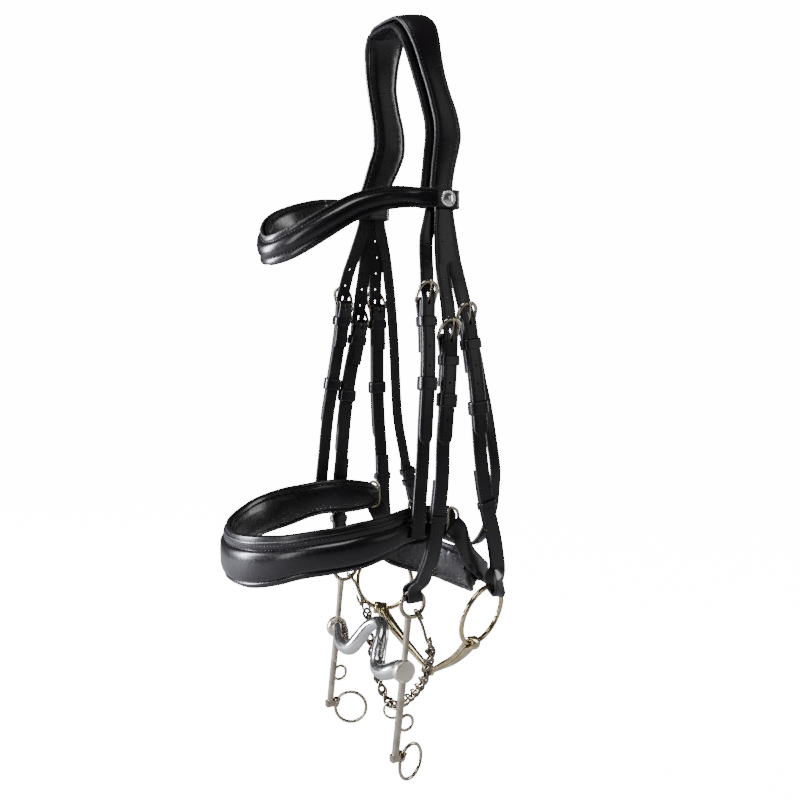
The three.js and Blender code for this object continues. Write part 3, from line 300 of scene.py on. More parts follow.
class Part:
    def __init__(self, name, mats, nodes=None, padded=None, sharp=38):
        self.name, self.mats, self.nodes = name, mats, nodes or [name]
        self.v, self.f, self.m, self.n = [], [], [], 0
        self.padded, self.sharp = padded, sharp

    def put(self, verts, faces, mat=0, cutters=None):
        verts = np.asarray(verts, float)
        if cutters:
            verts, faces, mat = carve(verts, faces, mat, cutters)
        self.v.append(verts)
        for i, f in enumerate(faces):
            self.f.append(tuple(j + self.n for j in f))
            self.m.append(mat if isinstance(mat, int) else mat[i])
        self.n += len(verts)

    def done(self):
        me = bpy.data.meshes.new("m_" + self.name)
        me.from_pydata((np.vstack(self.v) * 0.001).tolist(), [], self.f)
        for m in self.mats:
            me.materials.append(m)
        me.polygons.foreach_set("material_index", self.m)
        o = bpy.data.objects.new("v_" + self.name, me)
        bpy.context.scene.collection.objects.link(o)
        me.validate()
        me.shade_smooth()
        me.set_sharp_from_angle(angle=math.radians(self.sharp))
        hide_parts(*self.nodes)
        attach(o, BODY[self.nodes[0]])
        return o


def grid_faces(m, n, closed_rows, cap=True):
    F = []
    for i in range(m if closed_rows else m - 1):
        a, b = i * n, ((i + 1) % m) * n
        for j in range(n):
            k = (j + 1) % n
            F.append((a + j, b + j, b + k, a + k))
    if cap and not closed_rows:
        F.append(tuple(range(n)))
        e = (m - 1) * n
        F.append(tuple(e + j for j in reversed(range(n))))
    return F


def frames(P, ref, out=None, closed=False, mid=None):
    T = tangents(P, closed)
    R = np.array([ref(i / (len(P) - 1), P[i]) for i in range(len(P))], float) if callable(ref) else np.tile(np.array(ref, float), (len(P), 1))
    W = unit(R - (R * T).sum(1, keepdims=True) * T)
    N = unit(np.cross(T, W))
    if out is not None:
        if mid is not None:
            i = int(mid * (len(P) - 1))
            o = np.array(out(P[i]) if callable(out) else out, float)
            if N[i].dot(o) < 0:
                N = -N
        else:
            for i in range(len(P)):
                o = np.array(out(P[i]) if callable(out) else out, float)
                if N[i].dot(o) < 0:
                    N[i] = -N[i]
    return T, W, N


def sweep(part, P, section, ref=(0, 1, 0), out=None, closed=False, mid=None, mats=None, cutters=None):
    """section(i, u) gives [(across, out)...]; returns the frames for stitching."""
    T, W, N = frames(P, ref, out, closed, mid)
    m = len(P)
    rings = []
    for i in range(m):
        s = section(i, i / (m - 1))
        rings.append([P[i, :3] + W[i] * a + N[i] * b for a, b in s])
    n = len(rings[0])
    V = np.array(rings).reshape(-1, 3)
    F = grid_faces(m, n, closed)
    # keep faces looking out
    a, b, c = V[0], V[n], V[1]
    cen = V[:n].mean(0)
    nf = np.cross(V[F[0][1]] - V[F[0][0]], V[F[0][2]] - V[F[0][0]])
    if nf.dot((V[0] + V[1]) / 2 - cen) < 0:
        F = [tuple(reversed(f)) for f in F]
    M = 0
    if mats:
        M = [mats[i % n] for i in range(m * n if closed else (m - 1) * n)] + ([] if closed else [mats[0], mats[0]])
    part.put(V, F, M, cutters)
    return P[:, :3], T, W, N


def strap_section(w, t, edge=0.55, crease=0.16, crown=0.12):
    """grain side at +t/2, with a pressed line near each edge; flesh side at -t/2"""
    h = w / 2
    top = [(-h, t * 0.12), (-h + edge * 0.35, t / 2 - edge * 0.45), (-h + edge, t / 2 - 0.06), (-h + 1.25, t / 2), (-h + 1.7, t / 2 - crease), (-h + 2.2, t / 2), (-h * 0.4, t / 2 + crown * 0.8), (0, t / 2 + crown)]
    top = top + [(-a, b) for a, b in reversed(top[:-1])]
    return top + [(h, -t * 0.2), (h - 0.5, -t / 2), (0, -t / 2), (-h + 0.5, -t / 2), (-h, -t * 0.2)]


STRAP_MATS = [1, 0, 0, 0, 0, 0, 0, 0, 0, 0, 0, 0, 0, 1, 1, 2, 2, 2, 2, 1]


def strap(part, pts, w, t=LEATHER, ref=(0, 1, 0), out=None, mid=0.5, step=2.2, tip=None, crease=0.16, cutters=None):
    P = curve(pts, step)
    m = len(P)
    L = lengths(P)
    def sec(i, u):
        k = 1.0
        if tip and "end" in tip:
            d = L[-1] - L[i]
            if d < 9:
                k = 0.30 + 0.70 * math.sqrt(max(0, 1 - (1 - d / 9) ** 2))
        if tip and "start" in tip:
            d = L[i]
            if d < 9:
                k = 0.30 + 0.70 * math.sqrt(max(0, 1 - (1 - d / 9) ** 2))
        s = strap_section(w, t, crease=crease)
        return [(a * k, b) for a, b in s]
    return sweep(part, P, sec, ref, out, mid=mid, mats=STRAP_MATS, cutters=cutters)


def tube(part, P, r, sides=14, closed=False, mat=0, flat=None):
    """round wire; r may be a number or a function of (i, u)"""
    T = tangents(P, closed)
    m = len(P)
    a = np.array([0.31, 0.52, 0.79]) if abs(T[0].dot(unit([0.31, 0.52, 0.79]))) < 0.9 else np.array([1.0, 0, 0])
    U = np.empty((m, 3))
    U[0] = unit(a - a.dot(T[0]) * T[0])
    for i in range(1, m):
        U[i] = unit(U[i - 1] - U[i - 1].dot(T[i]) * T[i])
    if closed:
        e = unit(U[-1] - U[-1].dot(T[0]) * T[0])
        ang = math.atan2(np.cross(e, U[0]).dot(T[0]), e.dot(U[0]))
        for i in range(m):
            c, s = math.cos(ang * i / m), math.sin(ang * i / m)
            U[i] = U[i] * c + np.cross(T[i], U[i]) * s
    B = np.cross(T, U)
    V = []
    for i in range(m):
        rr = r(i, i / (m - 1)) if callable(r) else r
        for j in range(sides):
            q = 2 * math.pi * j / sides
            V.append(P[i, :3] + rr * (U[i] * math.cos(q) + B[i] * math.sin(q)))
    part.put(V, [tuple(reversed(f)) for f in grid_faces(m, sides, closed)], mat)


def torus(part, c, axis, R, r, seg=56, sides=16, mat=0, squash=1.0):
    a = unit(axis)
    u = unit(np.cross(a, [0.1, 0.2, 1.0]))
    v = np.cross(a, u)
    P = np.array([np.array(c) + R * (u * math.cos(q) + v * squash * math.sin(q)) for q in np.linspace(0, 2 * math.pi, seg, endpoint=False)])
    tube(part, P, r, sides, True, mat)


def lathe(part, c, axis, prof, seg=40, mat=0):
    """prof: [(radius, height)...] from the centre of one face to the centre of the other"""
    a = unit(axis)
    u = unit(np.cross(a, [0.13, 0.3, 1.0]))
    v = np.cross(a, u)
    V, F = [], []
    for r, h in prof:
        for j in range(seg):
            q = 2 * math.pi * j / seg
            V.append(np.array(c) + a * h + r * (u * math.cos(q) + v * math.sin(q)))
    for i in range(len(prof) - 1):
        for j in range(seg):
            k = (j + 1) % seg
            F.append((i * seg + j, i * seg + k, (i + 1) * seg + k, (i + 1) * seg + j))
    F.append(tuple(reversed(range(seg))))
    F.append(tuple((len(prof) - 1) * seg + j for j in range(seg)))
    part.put(V, F, mat)


def rod_cut(c, axis, r, l, seg=14):
    a = unit(axis)
    u = unit(np.cross(a, [0.13, 0.3, 1.0])); v = np.cross(a, u)
    V = [np.array(c) + a * h + r * (u * math.cos(q) + v * math.sin(q)) for h in (-l / 2, l / 2) for q in np.linspace(0, 2 * math.pi, seg, endpoint=False)]
    F = [(j, (j + 1) % seg, seg + (j + 1) % seg, seg + j) for j in range(seg)]
    return np.array(V), F + [tuple(reversed(range(seg))), tuple(range(seg, 2 * seg))]


def stitches(part, fr, a, b, s0=0.0, s1=None, pitch=3.3, length=2.4, r=0.34, mat=0, slant=0.10):
    """a row of separate stitches along swept frames, at (across a, out b)"""
    P, T, W, N = fr
    s = lengths(P)
    s1 = s[-1] if s1 is None else s1
    n = max(1, int((s1 - s0) / pitch))
    fa = a if callable(a) else (lambda u: a)
    fb = b if callable(b) else (lambda u: b)
    it = lambda A, q: np.array([np.interp(q, s, A[:, k]) for k in range(3)])
    for i in range(n):
        q = s0 + (i + 0.5) * pitch
        if q > s1:
            break
        u = q / s[-1]
        p, t, w, nn = it(P, q), unit(it(T, q)), unit(it(W, q)), unit(it(N, q))
        c = p + w * fa(u) + nn * fb(u)
        d = unit(t + w * slant)
        x = np.cross(d, nn)
        V = []
        for h, k, sink in ((-0.5, 0.45, -0.28), (-0.28, 1, 0), (0.28, 1, 0), (0.5, 0.45, -0.28)):
            for j in range(6):
                g = 2 * math.pi * j / 6
                V.append(c + d * length * h + (x * math.cos(g) + nn * math.sin(g)) * r * k + nn * sink)
        part.put(V, [tuple(reversed(f)) for f in grid_faces(4, 6, False)], mat)


def lump(V, amount, scale, seed):
    """gentle unevenness of soft leather"""
    return np.array([v + amount * np.array(noise.noise_vector(Vector(v * scale) + Vector((seed, seed * 1.7, -seed)))) for v in V])


def keeper(part, line, s, width, height, inner, outer, mat=0):
    p, w, t, n = line.at(s)
    hw, r = width / 2, 1.5
    path = []
    for cx, cy, a0 in ((hw - r, outer - r, 0), (-hw + r, outer - r, 90), (-hw + r, inner + r, 180), (hw - r, inner + r, 270)):
        for k in range(5):
            q = math.radians(a0 + 22.5 * k)
            path.append((cx + r * math.cos(q), cy + r * math.sin(q), math.cos(q), math.sin(q)))
    prof = [(-0.5, 0.15), (-0.46, 0.75), (-0.40, 1.0), (-0.30, 0.93), (0, 1.06), (0.30, 0.93), (0.40, 1.0), (0.46, 0.75), (0.5, 0.15), (0.45, 0.0), (-0.45, 0.0)]
    V = []
    for x, y, dx, dy in path:
        for h, k in prof:
            V.append(p + w * (x + dx * KEEPER_T * k) + n * (y + dy * KEEPER_T * k) + t * (height * h))
    m, k = len(path), len(prof)
    F = []
    for i in range(m):
        for j in range(k):
            F.append((i * k + j, i * k + (j + 1) % k, ((i + 1) % m) * k + (j + 1) % k, ((i + 1) % m) * k + j))
    part.put(V, F, mat)


def buckle(name, line, bar, width, tongue_name):
    p, w, t, n = line.at(bar)
    P3 = lambda a, v, b: p + w * a + t * v + n * b
    h = width / 2 + 2.6
    pts = [P3(-h + 1, 0, 0), P3(-h * 0.4, 0, 0), P3(h * 0.4, 0, 0), P3(h - 1, 0, 0), P3(h, 1.2, 0.5), P3(h, 6, 3.8), P3(h - 1.3, 12, 7.8), P3(h * 0.5, 15.4, 9), P3(0, 16.2, 9.2), P3(-h * 0.5, 15.4, 9), P3(-h + 1.3, 12, 7.8), P3(-h, 6, 3.8), P3(-h, 1.2, 0.5)]
    a = Part(name, [M_STEEL], sharp=60)
    C = curve(pts, 1.0, True)
    tube(a, C, lambda i, u: 1.2 + 0.55 * max(0.0, min(1.0, (float((C[i % len(C)] - p).dot(t)) - 2) / 8)), 12, True)
    a.done()
    b = Part(tongue_name, [M_STEEL], sharp=60)
    Q = lambda v, k: P3(0, v, k)
    T = curve([Q(1.9, -1.9), Q(-0.2, -2.7), Q(-2.3, -1.4), Q(-2.7, 1.2), Q(-1.4, 3.6), Q(2, 6.4), Q(7, 9.6), Q(12, 11.4), Q(17.6, 11.9)], 0.8)
    tube(b, T, lambda i, u: 1.0 * (1 - 0.35 * u), 10)
    b.done()


# ------------------------------------------------------------------ straps of the cheeks
def fold_top(line, bar, back_to):
    p, w, t, n = line.at(bar)
    Q = lambda v, k: p + t * v + n * k
    return line.between(back_to, bar - 14, -LAYER) + [Q(-7, -2.6), Q(0, -3.5), Q(2.9, -2.5), Q(4, 0), Q(2.9, 2.5), Q(0, 3.5), Q(-7, 2.5), line.off(bar - 14, LAYER)]


def hole_for_tongue(line, bar, v0=-2.6, v1=8.6, w=2.4, k=0.0):
    p, a, t, n = line.at(bar)
    V = [p + a * x + t * y + n * z for z in (-12, 12) for x, y in ((-w / 2, v0), (w / 2, v0), (w / 2, v1), (-w / 2, v1))]
    return np.array(V), [(3, 2, 1, 0), (4, 5, 6, 7), (0, 1, 5, 4), (1, 2, 6, 5), (2, 3, 7, 6), (3, 0, 4, 7)]


def punched(line, zs, r=None):
    out = []
    if r is None:
        r = 0.95 if line.out[0] > 0 else 1.1
    for z in zs:
        p, a, t, n = line.at(z)
        out.append(rod_cut(p + n * 2, n, r, 18))
    return out


def ease(z, a, b):
    s = min(1, max(0, (z - a) / (b - a)))
    return s * s * (3 - 2 * s)


def billet_offset(bar):
    def f(s):
        v = s - bar
        if v > 60: return 0
        if v > 16: return 4.4 * (1 - ease(v, 16, 60))
        if v > 2: return 4.4 + 2 * (1 - ease(v, 2, 16))
        if v > -16: return 6.4 - 1.6 * (1 - ease(v, -16, 2))
        return BILLET
    return f


def billet_points(line, s0, tip, f, bar):
    a = []
    v = s0
    while v > bar + 22:
        a.append(v); v -= 13
    a += [bar + 16, bar + 9, bar + 2, bar - 7, bar - 16]
    v = bar - 30
    while v > tip + 5:
        a.append(v); v -= 14
    a.append(tip)
    return [line.off(q, f(q)) for q in a] + [line.off(tip, f(tip), -5)]


def seen(S, k, bar, z):
    """the far straps have fewer holes above their buckles"""
    return S == "near" or z < bar + (70 if k == "bradoon" else 40)


def holes_of(bar, tip):
    return [z for z in (bar + 19, bar + 35, bar + 51, bar + 67, bar + 83, bar - 37, bar - 53, bar - 69) if z > tip + 9 and z < -182]


def ring_frame(S):
    c, ax = BR[S]
    a = unit(ax)
    down = unit(np.array([0, 0, -1.0]) + a * a[2])
    rear = unit(np.cross(a, down))
    if rear[1] < 0:
        rear = -rear
    at = lambda d: np.array(c) + down * RING_R * math.cos(math.radians(d)) + rear * RING_R * math.sin(math.radians(d))
    wire = lambda d: down * math.sin(math.radians(d)) - rear * math.cos(math.radians(d))
    return np.array(c, float), a, at, wire


def cheekpiece(S, k, name, X, Y, Z, r, drop, return_to, low, lean=0.0, along=(0, 1, 0)):
    line, (bar, tip, back, key, slide) = LINES[S][k], BUCKLES[S][k]
    s = 1 if S == "near" else -1
    zs = HANG[S][k][-1][2]
    R = lambda dx, dz: np.array([X + s * dx, Y + lean * dz, Z + dz])
    bottom = [R(r, 7), R(r, 0), R(r * 0.86, -drop * 0.6), R(r * 0.42, -drop * 0.95), R(-r * 0.42, -drop * 0.95), R(-r * 0.86, -drop * 0.6), R(-r, 0), R(-r, 7)]
    pts = fold_top(line, bar, back) + line.between(bar - 26, zs + 6, LAYER) + [line.off(zs, LAYER + 0.6)] + bottom + [line.off(zs, -LAYER - 0.6)] + line.between(zs + 6, return_to, -LAYER)
    al = np.array(along, float)
    def ref(u, p):
        e = min(1, max(0, (Z + 17 - p[2]) / 9))
        return al * e + np.array([0, 1, 0]) * (1 - e)
    part = Part(name, [M_STRAP, M_EDGE, M_FLESH, M_THREAD])
    P = curve(pts, 2.0)
    # where the front layer lies
    L = lengths(P)
    mid = int(np.argmin([abs(p[2] - (bar - 90)) + (0 if i > len(P) * 0.2 and i < len(P) * 0.62 else 1e3) for i, p in enumerate(P)]))
    fr = sweep(part, P, lambda i, u: strap_section(WIDTH[k], LEATHER), ref, (s, 0, 0), mid=mid / (len(P) - 1), mats=STRAP_MATS, cutters=[hole_for_tongue(line, bar, -4.2, 5.2)])
    edge = WIDTH[k] / 2 - 1.7
    # stitched where two layers meet: below the buckle and above the bit
    front = [i for i, p in enumerate(P) if 0.12 * len(P) < i < 0.66 * len(P)]
    def arc_at(z, pool):
        return L[min(pool, key=lambda i: abs(P[i][2] - z))]
    for a in (-edge, edge):
        stitches(part, fr, a, LEATHER / 2 + 0.02, arc_at(bar - 10, front), arc_at(back + 2, front), mat=3)
        stitches(part, fr, a, LEATHER / 2 + 0.02, arc_at(return_to - 2, front), arc_at(zs + 4, front), mat=3)
    keeper(part, line, key, WIDTH[k] + 1, 9, -2.3, 6.7)
    if low:
        keeper(part, line, low, WIDTH[k] + 1, 7, -2.3, 3.5)
    part.done()


def billets_and_straps():
    for S in ("near", "far"):
        s = 1 if S == "near" else -1
        for k in ("hanger", "curb", "bradoon"):
            line, (bar, tip, back, key, slide) = LINES[S][k], BUCKLES[S][k]
            n = "noseband" if k == "hanger" else k
            buckle(f"{n}_buckle_{S}", line, bar, WIDTH[k], f"{n}_buckle_tongue_{S}")
            kp = Part(f"{n}_keeper_{S}", [M_STRAP])
            keeper(kp, line, slide, WIDTH[k] + 1.2, 12, -0.4, 6.8)
            kp.done()
        # noseband hanger
        line, (bar, tip, back, key, slide) = LINES[S]["hanger"], BUCKLES[S]["hanger"]
        part = Part("noseband_hanger_" + S, [M_STRAP, M_EDGE, M_FLESH, M_THREAD])
        pts = fold_top(line, bar, back) + line.between(bar - 26, -446, LAYER)
        P = curve(pts, 2.0)
        fr = sweep(part, P, lambda i, u: strap_section(WIDTH["hanger"], LEATHER), (0, 1, 0), (s, 0, 0), mid=0.7, mats=STRAP_MATS, cutters=[hole_for_tongue(line, bar, -4.2, 5.2)])
        L = lengths(P)
        f0 = [i for i in range(len(P)) if i > len(P) * 0.25]
        arc = lambda z: L[min(f0, key=lambda i: abs(P[i][2] - z))]
        for a in (-1, 1):
            stitches(part, fr, a * (WIDTH["hanger"] / 2 - 1.7), LEATHER / 2 + 0.02, arc(bar - 10), arc(back + 2), mat=3)
            stitches(part, fr, a * (WIDTH["hanger"] / 2 - 1.7), LEATHER / 2 + 0.02, arc(-424), arc(-446), mat=3)
        keeper(part, line, key, WIDTH["hanger"] + 1, 9, -2.3, 6.7)
        part.done()
    cheekpiece("near", "curb", "curb_cheekpiece_near", BIT_X, EYE_Y + 0.6, -503.8, 4.3, 4.4, -398, -432, -0.16)
    cheekpiece("far", "curb", "curb_cheekpiece_far", -BIT_X, EYE_Y + 0.6, -503.8, 4.3, 4.4, -402, -463, -0.04)
    for S, d, r, drop, ret, lean in (("near", 158, 7.0, 8.6, -392, -0.15), ("far", 172, 6.0, 6.2, -402, 0.0)):
        c, a, at, wire = ring_frame(S)
        x = at(d)
        cheekpiece(S, "bradoon", "bradoon_cheekpiece_" + S, x[0], x[1], x[2], r, drop, ret, -424, lean, wire(d))


# ------------------------------------------------------------------ headpiece
def arch_rows(step=3.0):
    pts = [[x, 0, z, f, r] for x, z, f, r in ARCH] + [[-x, 0, z, f, r] for x, z, f, r in reversed(ARCH)]
    return curve(pts, step)


def headpiece():
    R = arch_rows(2.5)
    R[:, 2] -= 2.2 * np.clip((R[:, 2] + 45) / 50, 0, 1)
    slope = lambda u, p: (0, 1, 0.19 * min(1, max(0, (p[2] + 50) / 45)))
    out = lambda p: (p[0], 0, 30)
    part = Part("headpiece", [M_STRAP, M_EDGE, M_FLESH, M_THREAD])
    def sec(i, u):
        f, r = R[i, 3], R[i, 4]
        w = r - f
        top = [(0, 1.2), (0.35, 2.35), (1.0, 3.05), (2.2, 3.35), (3.0, 3.12), (3.8, 3.4), (w * 0.3, 3.95), (w * 0.5, 4.1)]
        top = [(f + a, b) for a, b in top]
        top += [(f + r - a, b) for a, b in reversed(top[:-1])]
        return top + [(r - 0.3, 0.5), ((f + r) / 2, 0.4), (f + 0.3, 0.5)]
    mats = [1, 0, 0, 0, 0, 0, 0, 0, 0, 0, 0, 0, 0, 1, 1, 2, 2, 1]
    fr = sweep(part, R, sec, slope, out, mats=mats)
    n = len(R)
    for side in (0, 1):
        stitches(part, fr, lambda u: (np.interp(u * (n - 1), np.arange(n), R[:, 3]) + 3.0) if side == 0 else (np.interp(u * (n - 1), np.arange(n), R[:, 4]) - 3.0), 3.26, 12, lengths(R)[-1] - 12, mat=3)
    for S in ("near", "far"):
        s = 1 if S == "near" else -1
        # one width of leather, slit into two straps lower down
        A, B = LINES[S]["curb"], LINES[S]["bradoon"]
        zs = list(np.arange(-146, -214, -2.5))
        P = np.array([[A.at(max(-211, min(-150.2, z)))[0][0] + (z + 150.2) * 0.0 if z <= -150.2 else 65.2 * s, 0, z] for z in zs])
        P[:, 0] += s * 0.12
        def sk(i, u):
            z = zs[i]
            a = A.at(min(-150.2, z))[0][1] - 7.0
            b = B.at(min(-150.2, z))[0][1] + 7.0
            e = min(1, max(0, (z + 150.2 - 7) / -12)) if z > -160 else 1
            a = a * e + (-8.2) * (1 - e)
            b = b * e + 14.0 * (1 - e)
            q = strap_section(b - a, LEATHER + 0.2, crown=0.25)
            return [((a + b) / 2 + x, y) for x, y in q]
        upper = [c for k in ("curb", "bradoon") for c in punched(LINES[S][k], [z for z in holes_of(BUCKLES[S][k][0], BUCKLES[S][k][1]) if z > -214 and seen(S, k, BUCKLES[S][k][0], z)])]
        sweep(part, P, sk, (0, 1, 0), (s, 0, 0), mid=0.5, mats=STRAP_MATS, cutters=upper)
        for k in ("curb", "bradoon"):
            line, (bar, tip, back, key, slide) = LINES[S][k], BUCKLES[S][k]
            strap(part, billet_points(line, -209, tip, billet_offset(bar), bar), WIDTH[k], ref=(0, 1, 0), out=(s, 0, 0), mid=0.5, tip=("end",), cutters=[hole_for_tongue(line, bar)] + punched(line, [z for z in holes_of(bar, tip) if z < -214 and seen(S, k, bar, z)]))
    part.done()

    pad = Part("headpiece_padding", [M_PAD, M_EDGE, M_THREAD], padded=0.75)
    L = lengths(R)
    keep = [i for i in range(len(R)) if 4 < L[i] < L[-1] - 4]
    Q = R[keep]
    def ps(i, u):
        f, r = Q[i, 3], Q[i, 4]
        s = lengths(Q)[i] if False else i * 2.5
        pk = 0.35 * math.sin(s * 2 * math.pi / 3.3 * 0.5) ** 2
        a0, a1 = f - 6.5, r + 2.5
        w = a1 - a0
        return [(a0 + 0.2, -4.4), (a0 + 1.0, -3.1), (a0 + 2.4, -2.75), (a0 + 6, -2.65), (a1 - 2, -2.65), (a1 - 0.5, -3.1), (a1, -4.6), (a1 - 0.6, -6.2), (a1 - 2.0, -6.9 + pk), (a1 - 3.4, -6.2 + pk), (a1 - 5.2, -7.4),
                (a0 + w * 0.66, -8.4), (a0 + w * 0.5, -8.15), (a0 + w * 0.36, -8.4), (a0 + 7.6, -7.5), (a0 + 5.6, -6.1 + pk), (a0 + 4.2, -6.9), (a0 + 2.2, -7.0), (a0 + 0.7, -6.0)]
    e = min(1.0, 1.0)
    fp = sweep(pad, Q, ps, slope, out, mats=[0] * 19)
    pad.v[-1] = lump(pad.v[-1], 0.35, 0.07, 3.1)
    nq = len(Q)
    stitches(pad, fp, lambda u: np.interp(u * (nq - 1), np.arange(nq), Q[:, 3]) - 0.9, -6.3, 4, None, mat=2)
    stitches(pad, fp, lambda u: np.interp(u * (nq - 1), np.arange(nq), Q[:, 4]) - 0.9, -6.5, 4, None, mat=2)
    pad.done()

    # the noseband's own strap under the headpiece
    hs = Part("noseband_headstrap", [M_STRAP, M_EDGE, M_FLESH, M_THREAD])
    path = []
    def side(S):
        line, (bar, tip, back, key, slide) = LINES[S]["hanger"], BUCKLES[S]["hanger"]
        return billet_points(line, -152, tip, billet_offset(bar), bar)
    RR = arch_rows(12)
    RR[:, 2] -= 2.2 * np.clip((RR[:, 2] + 45) / 50, 0, 1)
    T, W, N = frames(RR, (0, 1, 0), out)
    LL = lengths(RR)
    mid = []
    for i in range(len(RR)):
        if 20 < LL[i] < LL[-1] - 20:
            q = min(1, min(LL[i] - 20, LL[-1] - 20 - LL[i]) / 55)
            y = (RR[i, 3] + 9) * (1 - q) + (RR[i, 3] + RR[i, 4]) / 2 * q
            mid.append(RR[i, :3] + N[i] * -1.1 + np.array([0, y, 0]))
    nearp, farp = side("near")[::-1], side("far")
    pts = [list(p) for p in nearp + mid + farp]
    P = curve(pts, 2.2)
    Lh = lengths(P)
    top = int(np.argmax(P[:, 2]))
    def hsec(i, u):
        d = min(Lh[i], Lh[-1] - Lh[i])
        k = 1.0 if d > 9 else 0.30 + 0.70 * math.sqrt(max(0, 1 - (1 - d / 9) ** 2))
        z = P[i, 2]
        t = 1.9 if z > -148 else (LEATHER if z < -165 else 1.9 + (LEATHER - 1.9) * (-148 - z) / 17)
        return [(a * k, b) for a, b in strap_section(WIDTH["hanger"], t)]
    cuts = []
    for S in ("near", "far"):
        line, (bar, tip, back, key, slide) = LINES[S]["hanger"], BUCKLES[S]["hanger"]
        cuts += [hole_for_tongue(line, bar)] + punched(line, [z for z in holes_of(bar, tip) if z < -205 and seen(S, "hanger", bar, z)])
    sweep(hs, P, hsec, (0, 1, 0), lambda p: (p[0], 0, 30), mid=0.5, mats=STRAP_MATS, cutters=cuts)
    hs.done()


# ------------------------------------------------------------------ throatlatch
def throatlatch():
    bar, tip = 450, 408
    part = Part("throatlatch_far", [M_STRAP, M_EDGE, M_FLESH, M_THREAD])
    pts = fold_top(THROAT, bar, bar - 34) + THROAT.between(bar - 26, 151, LAYER, 16)
    fr = strap(part, pts, THROAT_W, out=(-1, 0, 0), mid=0.6, cutters=[hole_for_tongue(THROAT, bar, -4.2, 5.2)])
    for a in (-1, 1):
        stitches(part, fr, a * (THROAT_W / 2 - 1.6), LEATHER / 2 + 0.02, 48, 78, mat=3)
    keeper(part, THROAT, bar - 18, THROAT_W + 1, 7, -2.3, 6.7)
    part.done()
    buckle("throatlatch_buckle", THROAT, bar, THROAT_W, "throatlatch_buckle_tongue")
    kp = Part("throatlatch_keeper", [M_STRAP])
    keeper(kp, THROAT, bar - 29, THROAT_W + 1.2, 7, -3.5, 6.8)
    kp.done()
    near = Part("throatlatch_near", [M_STRAP, M_EDGE, M_FLESH, M_THREAD])
    f = lambda v: 4.8 if v > 460 else 5.6 if v > 455 else 6.7 if v > 448 else 6.0 if v > 440 else BILLET
    pts = [np.array(p, float) for p in THROAT_NEAR[:-1]] + [THROAT.off(v, f(v)) for v in (462, 457, 451, 444, 436)] + [THROAT.off(v, BILLET) for v in (424, 414)] + [THROAT.off(414, BILLET, -6)]
    strap(near, pts, THROAT_W, out=(1, 0, 0), mid=0.3, tip=("end",), cutters=[hole_for_tongue(THROAT, bar)] + punched(THROAT, [430, 419]))
    near.done()


